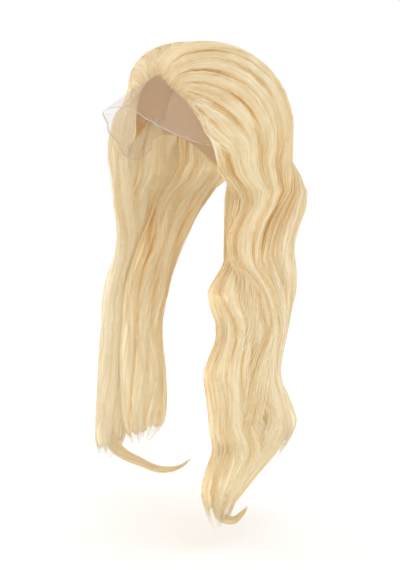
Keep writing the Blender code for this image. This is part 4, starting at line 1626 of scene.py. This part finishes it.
def net_pattern() -> bpy.types.NodeTree:
    """Shared group: a mask of crossing threads on a UV map.

    Returns:
        The group.
    """
    tree, given, result = mask_group("net_pattern", ("Across", "Along", "Hem"), "Thread")
    split = add_node(tree, "SeparateXYZ")
    join(tree, (add_node(tree, "UVMap").outputs["UV"], split.inputs[0]))

    def node(operation: str, *values: bpy.types.NodeSocket | float) -> bpy.types.NodeSocket:
        """Add one math node.

        Args:
            operation: What it does.
            values: Its inputs, as numbers or as outputs of other nodes.

        Returns:
            Its output.
        """
        made = add_node(tree, "Math", operation=operation)
        for target, value in zip(made.inputs, values):
            if isinstance(value, bpy.types.NodeSocket):
                tree.links.new(value, target)
            else:
                target.default_value = value
        return made.outputs[0]

    u = node("MULTIPLY", split.outputs["X"], given.outputs["Across"])
    v = node("MULTIPLY", split.outputs["Y"], given.outputs["Along"])
    slanting = [
        node("LESS_THAN", node("PINGPONG", line, 0.5), SLANT_THREAD)
        for line in (node("ADD", u, v), node("SUBTRACT", u, v))
    ]
    level = node("LESS_THAN", node("PINGPONG", u, 0.5), LEVEL_THREAD)
    threads = node("MAXIMUM", node("MAXIMUM", *slanting), level)
    hem = node("GREATER_THAN", split.outputs["Y"], given.outputs["Hem"])
    shown = node("MAXIMUM", node("MULTIPLY", threads, NET_FIRMNESS), hem)
    join(tree, (shown, result.inputs["Thread"]))
    return tree


def seam_direction(share: np.ndarray) -> np.ndarray:
    """Seam between lace and cap, over the crown from side to side.

    Args:
        share: -1 at the right end, 1 at the left end.

    Returns:
        Unit directions.
    """
    angle = np.radians(SEAM_TURN * share)
    level = np.maximum(np.cos(angle), 0.0)
    return unit(np.stack([np.sin(angle), SEAM_SET_BACK * level, np.cos(angle)], -1))


def cloth(name: str, points: np.ndarray, wall: float) -> tuple[bpy.types.Object, float]:
    """Thin cloth through rows of points.

    Args:
        name: Name of the piece.
        points: Rows of points.
        wall: Thickness.

    Returns:
        The piece and its flat area.
    """
    made = placed_grid(name, points)
    area = sum(face.area for face in made.data.polygons)
    top = max(made.data.polygons, key=lambda face: face.center.z)
    if top.normal.z < 0:
        made.data.flip_normals()
    bpy.ops.object.shade_smooth()
    bpy.ops.object.modifier_add(type="SOLIDIFY")
    made.modifiers[-1].thickness = wall
    made.modifiers[-1].offset = 1
    bpy.ops.object.modifier_apply(modifier=made.modifiers[-1].name)
    return made, area


@dataclass
class LaceFront:
    """Sheer lace panel with its untrimmed margin."""

    columns: int = 96
    inner_rows: int = 16
    margin_rows: int = 26
    wall: float = 0.0005
    ruffle: float = 0.0022
    ruffles: int = 5

    def build(self) -> tuple[bpy.types.Object, float]:
        """Lace from the seam to its free edge.

        Returns:
            The piece and its flat area.
        """
        share = np.linspace(-1, 1, self.columns + 1)[None]
        seam = seam_direction(share)
        turn = LACE_TURN * share
        hairline = direction(turn, table_curve(HAIRLINE, np.abs(turn), 1))
        edge = np.stack([table_curve(LACE_EDGE, share, c) for c in (1, 2, 3)], -1)
        reach = edge - FORM_CENTRE
        toward = unit(reach / FORM_SIZE)
        surface = on_form(toward) - FORM_CENTRE
        lift = np.linalg.norm(reach, axis=-1) - np.linalg.norm(surface, axis=-1)
        t = np.linspace(0, 1, self.inner_rows + 1)[:, None, None]
        inner = on_form(unit(seam * (1 - t) + hairline * t), LACE_LIFT)
        t = np.linspace(0, 1, self.margin_rows + 1)[1:, None, None]
        flare = 1.25 + 0.9 * smooth_step((-0.35 - share) / 0.25)
        ruffle = self.ruffle * np.sin(2 * math.pi * self.ruffles * share) * t[..., 0] ** 2
        rise = lift * t[..., 0] ** flare + ruffle + LACE_LIFT
        margin = on_form(unit(hairline * (1 - t) + toward * t), rise)
        points = np.concatenate([inner, margin], axis=0)
        return cloth("lace_panel", points, self.wall)


@dataclass
class CapNet:
    """Net cap behind the lace, to the nape."""

    columns: int = 72
    rows: int = 30
    wall: float = 0.0014

    def build(self) -> tuple[bpy.types.Object, float]:
        """Cap from the seam to its back rim.

        Returns:
            The piece and its flat area.
        """
        share = np.linspace(-1, 1, self.columns + 1)[None]
        back = unit(seam_direction(share) + np.array([0, CAP_STEP_BACK, 0]))
        turn = 180 - CAP_RIM_REACH * np.abs(share)
        rim = direction(np.copysign(turn, share), table_curve(CAP_RIM, turn, 1))
        t = np.linspace(0, 1, self.rows + 1)[:, None, None]
        points = on_form(unit(back * (1 - t) + rim * t))
        return cloth("cap_shell", points, self.wall)


@dataclass(frozen=True)
class Studio:
    """Pale floor, soft lights and the camera."""

    azimuth: float = 48.0
    elevation: float = 8.0
    distance: float = 1.85
    pixels_per_metre: float = 740.0
    frame_height: float = 570.0
    crown_pixel: tuple[float, float] = (-2.0, -234.0)
    sensor: float = 36.0
    floor_size: float = 60
    floor_level: float = -0.66
    aim_level: float = -0.28
    world_light: float = 1.02
    # Name, place, size and watts of each soft light
    lamps: tuple = (
        ("key", (1.2, -2.0, 1.4), 1.4, 0.6),
        ("top", (0.4, 0.1, 2.2), 1.2, 3.5),
        ("low_front", (0.8, -1.9, -0.5), 1.6, 0.8),
        ("near_side", (2.0, 1.2, -0.1), 1.6, 4),
        ("far_side", (-2.0, -1.2, 0.2), 1.4, 10),
    )

    def camera(self) -> None:
        """Camera at the viewing angle, aimed so that the crown is in its place."""
        az, el = math.radians(self.azimuth), math.radians(self.elevation)
        level = math.cos(el)
        backward = Vector((math.sin(az) * level, -math.cos(az) * level, math.sin(el)))
        right = Vector((math.cos(az), math.sin(az), 0))
        up = backward.cross(right)
        place = self.distance * backward
        place -= right * (self.crown_pixel[0] / self.pixels_per_metre)
        place += up * (self.crown_pixel[1] / self.pixels_per_metre)
        bpy.ops.object.camera_add()
        made = bpy.context.object
        made.name = "camera"
        made.matrix_world = Matrix(
            (
                (right.x, up.x, backward.x, place.x),
                (right.y, up.y, backward.y, place.y),
                (right.z, up.z, backward.z, place.z),
                (0, 0, 0, 1),
            )
        )
        made.data.sensor_width = self.sensor
        made.data.lens = self.sensor * self.pixels_per_metre * self.distance / self.frame_height
        bpy.context.scene.camera = made

    def lamp(self, name: str, place: tuple, size: float, power: float) -> None:
        """Soft square light aimed at the hair.

        Args:
            name: Name of the light.
            place: Where it stands.
            size: Side of the square.
            power: Watts.
        """
        bpy.ops.object.light_add(type="AREA", location=place)
        made = bpy.context.object
        made.name = name
        made.data.size = size
        made.data.energy = power
        aim = Vector((0, 0, self.aim_level)) - Vector(place)
        made.rotation_euler = aim.to_track_quat("-Z", "Y").to_euler()

    def build(self) -> None:
        """Floor, lights, world and camera."""
        place = (0, 0, self.floor_level)
        bpy.ops.mesh.primitive_plane_add(size=self.floor_size, location=place)
        floor = bpy.context.object
        floor.name = "studio_floor"
        paint = shaded("floor_paint", {"Base Color": (0.98, 0.98, 0.98, 1), "Roughness": 0.9})[0]
        floor.data.materials.append(paint)
        for lamp in self.lamps:
            self.lamp(*lamp)
        world = bpy.data.worlds.new("studio")
        world.use_nodes = True
        sky = world.node_tree.nodes["Background"]
        sky.inputs["Color"].default_value = (1, 1, 1, 1)
        sky.inputs["Strength"].default_value = self.world_light
        bpy.context.scene.world = world
        bpy.context.scene.view_settings.view_transform = "Standard"
        self.camera()


def dress(piece: bpy.types.Object, material: bpy.types.Material) -> None:
    """Give a piece its material and ride it on the wig.

    Args:
        piece: The piece.
        material: Its material.
    """
    piece.data.materials.clear()
    piece.data.materials.append(material)
    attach(piece, "root")
    piece.data.calc_loop_triangles()
    LOG.info("%s: %d triangles", piece.name, len(piece.data.loop_triangles))


def build_cloth(net: bpy.types.NodeTree) -> None:
    """Lace front and net cap.

    Args:
        net: The shared net pattern.
    """
    lace, area = LaceFront().build()
    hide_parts("lace_front")
    lace_finish = NetFinish((226, 208, 196), (260, 150), 0.02, 0.55, hem=0.985)
    dress(lace, lace_finish.material("sheer_lace", net))
    LOG.info("lace area %.4f", area)

    cap, area = CapNet().build()
    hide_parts("cap_net")
    cap_finish = NetFinish((246, 230, 204), (170, 110), 1.0, 1.0, (226, 200, 164))
    dress(cap, cap_finish.material("cap_mesh", net))
    LOG.info("cap area %.4f", area)


def make_locks() -> tuple[dict[str, CrownHair], dict[str, Tress]]:
    """Describe the crown hair and the hanging locks.

    Returns:
        The crown hair by side, and the locks by name.
    """
    left = CrownHair("crown_core_left", "crown_hair_left", 1, RIM_LEFT, FLOW_LEFT, 0.0)
    right = CrownHair(
        "crown_core_right", "crown_hair_right", -1, RIM_RIGHT, FLOW_RIGHT, 0.017,
        first_turn=SWEPT_FROM_RIGHT,
    )
    # Each lock's tone is painted light and shade: the near front locks are set darker and the
    # far-side and back locks lighter, and each shade patch is painted shade where locks meet
    tresses = {
        "front_left": Tress(
            "front_core_left", "front_tress_left", FRONT_LEFT, left, 71, 129, root_inner=0.55,
            shade_patch=(0.95, -0.225, 0.44), sway=0.018, tone=0.58, low_tone=0.20,
        ),
        "side_left": Tress(
            "side_core_left", "side_tress_left", SIDE_LEFT, left, 74, 126, root_outer=0.35,
            tip=0.026, shade_patch=(0.6, -0.49, 0.12), sway=0.018, tone=0.62, low_tone=0.06,
        ),
        "back_left": Tress(
            "back_core_left", "back_tress_left", BACK_LEFT, left, 130.5, 179.2,
            counts=(4, 11, 27), shade_patch=(0.02, -0.215, 0.24), tone=0.78, low_tone=0.22,
        ),
        "back_right": Tress(
            "back_core_right", "back_tress_right", BACK_RIGHT, right, -179.2, -153,
            counts=(2, 6, 15),
        ),
        "nape_right": Tress(
            "nape_core_right", "nape_tress_right", NAPE_RIGHT, right, -109, -152,
            sway=0.030, tone=0.76, tip=0.012, shade_patch=(0.1, -0.27, 0.14), fringe=0.006,
        ),
        "front_right": Tress(
            "front_core_right", "front_tress_right", FRONT_RIGHT, right, -55, -107.5,
            root_inner=0.66, sway=0.034, tone=0.84, tip=0.012, fringe=0.005,
        ),
    }
    return {"left": left, "right": right}, tresses


def add_strands(maker: Strands, material: bpy.types.Material) -> None:
    """Strands over the cores, gathered in a few pieces.

    Args:
        maker: What places them.
        material: Their finish.
    """
    for name, side, locks in SWEPT_STRANDS:
        bundle = StrandBundle(name)
        for lock, count, inside, crown_steps in locks:
            maker.swept(side, lock, count, bundle, crown_steps)
            maker.lying(lock, inside, bundle, inside=True)
        dress(bundle.build(), material)

    bundle = StrandBundle("strands_side_left")
    maker.lying("side_left", 500, bundle)
    maker.lying("side_left", 90, bundle, inside=True)
    maker.wisp(LEFT_HOOK, 70, bundle)
    dress(bundle.build(), material)

    bundle = StrandBundle("strands_between")
    for names, places, mixes, levels, count, rise in BRIDGES:
        maker.bridging(names, places, mixes, levels, count, bundle, rise)
    dress(bundle.build(), material)

    bundle = StrandBundle("strands_loose")
    maker.swept_over(330, bundle)
    maker.front_end("right", "front_right", 260, bundle)
    maker.front_end("left", "front_left", 120, bundle)
    maker.wisp(RIGHT_WISP, 100, bundle)
    maker.baby_hairs("left", 260, bundle)
    maker.baby_hairs("right", 160, bundle)
    maker.fly_aways("front_left", (-0.03, 0.05), (-0.26, -0.15), 0.010, 18, bundle)
    for lock in maker.tresses:
        maker.fly_aways(lock, (0.0, 1.0), (-0.54, -0.13), 0.004, 50, bundle)
    dress(bundle.build(), material)


def main() -> None:
    """Build the studio, the cloth, the cores and the strands in order."""
    logging.basicConfig(level=logging.INFO, format="%(message)s")
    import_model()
    Studio().build()
    build_cloth(net_pattern())

    crowns, tresses = make_locks()
    finish = HairFinish()
    streaks = hair_streaks()
    crown_material = finish.core_material("crown_hair_finish", streaks, 420)
    tress_material = finish.core_material("tress_hair_finish", streaks, 210)
    for crown in crowns.values():
        dress(crown.build(), crown_material)
    for tress in tresses.values():
        dress(tress.build(), tress_material)
    add_strands(Strands(crowns, tresses), finish.strand_material())


if __name__ == "__main__":
    main()
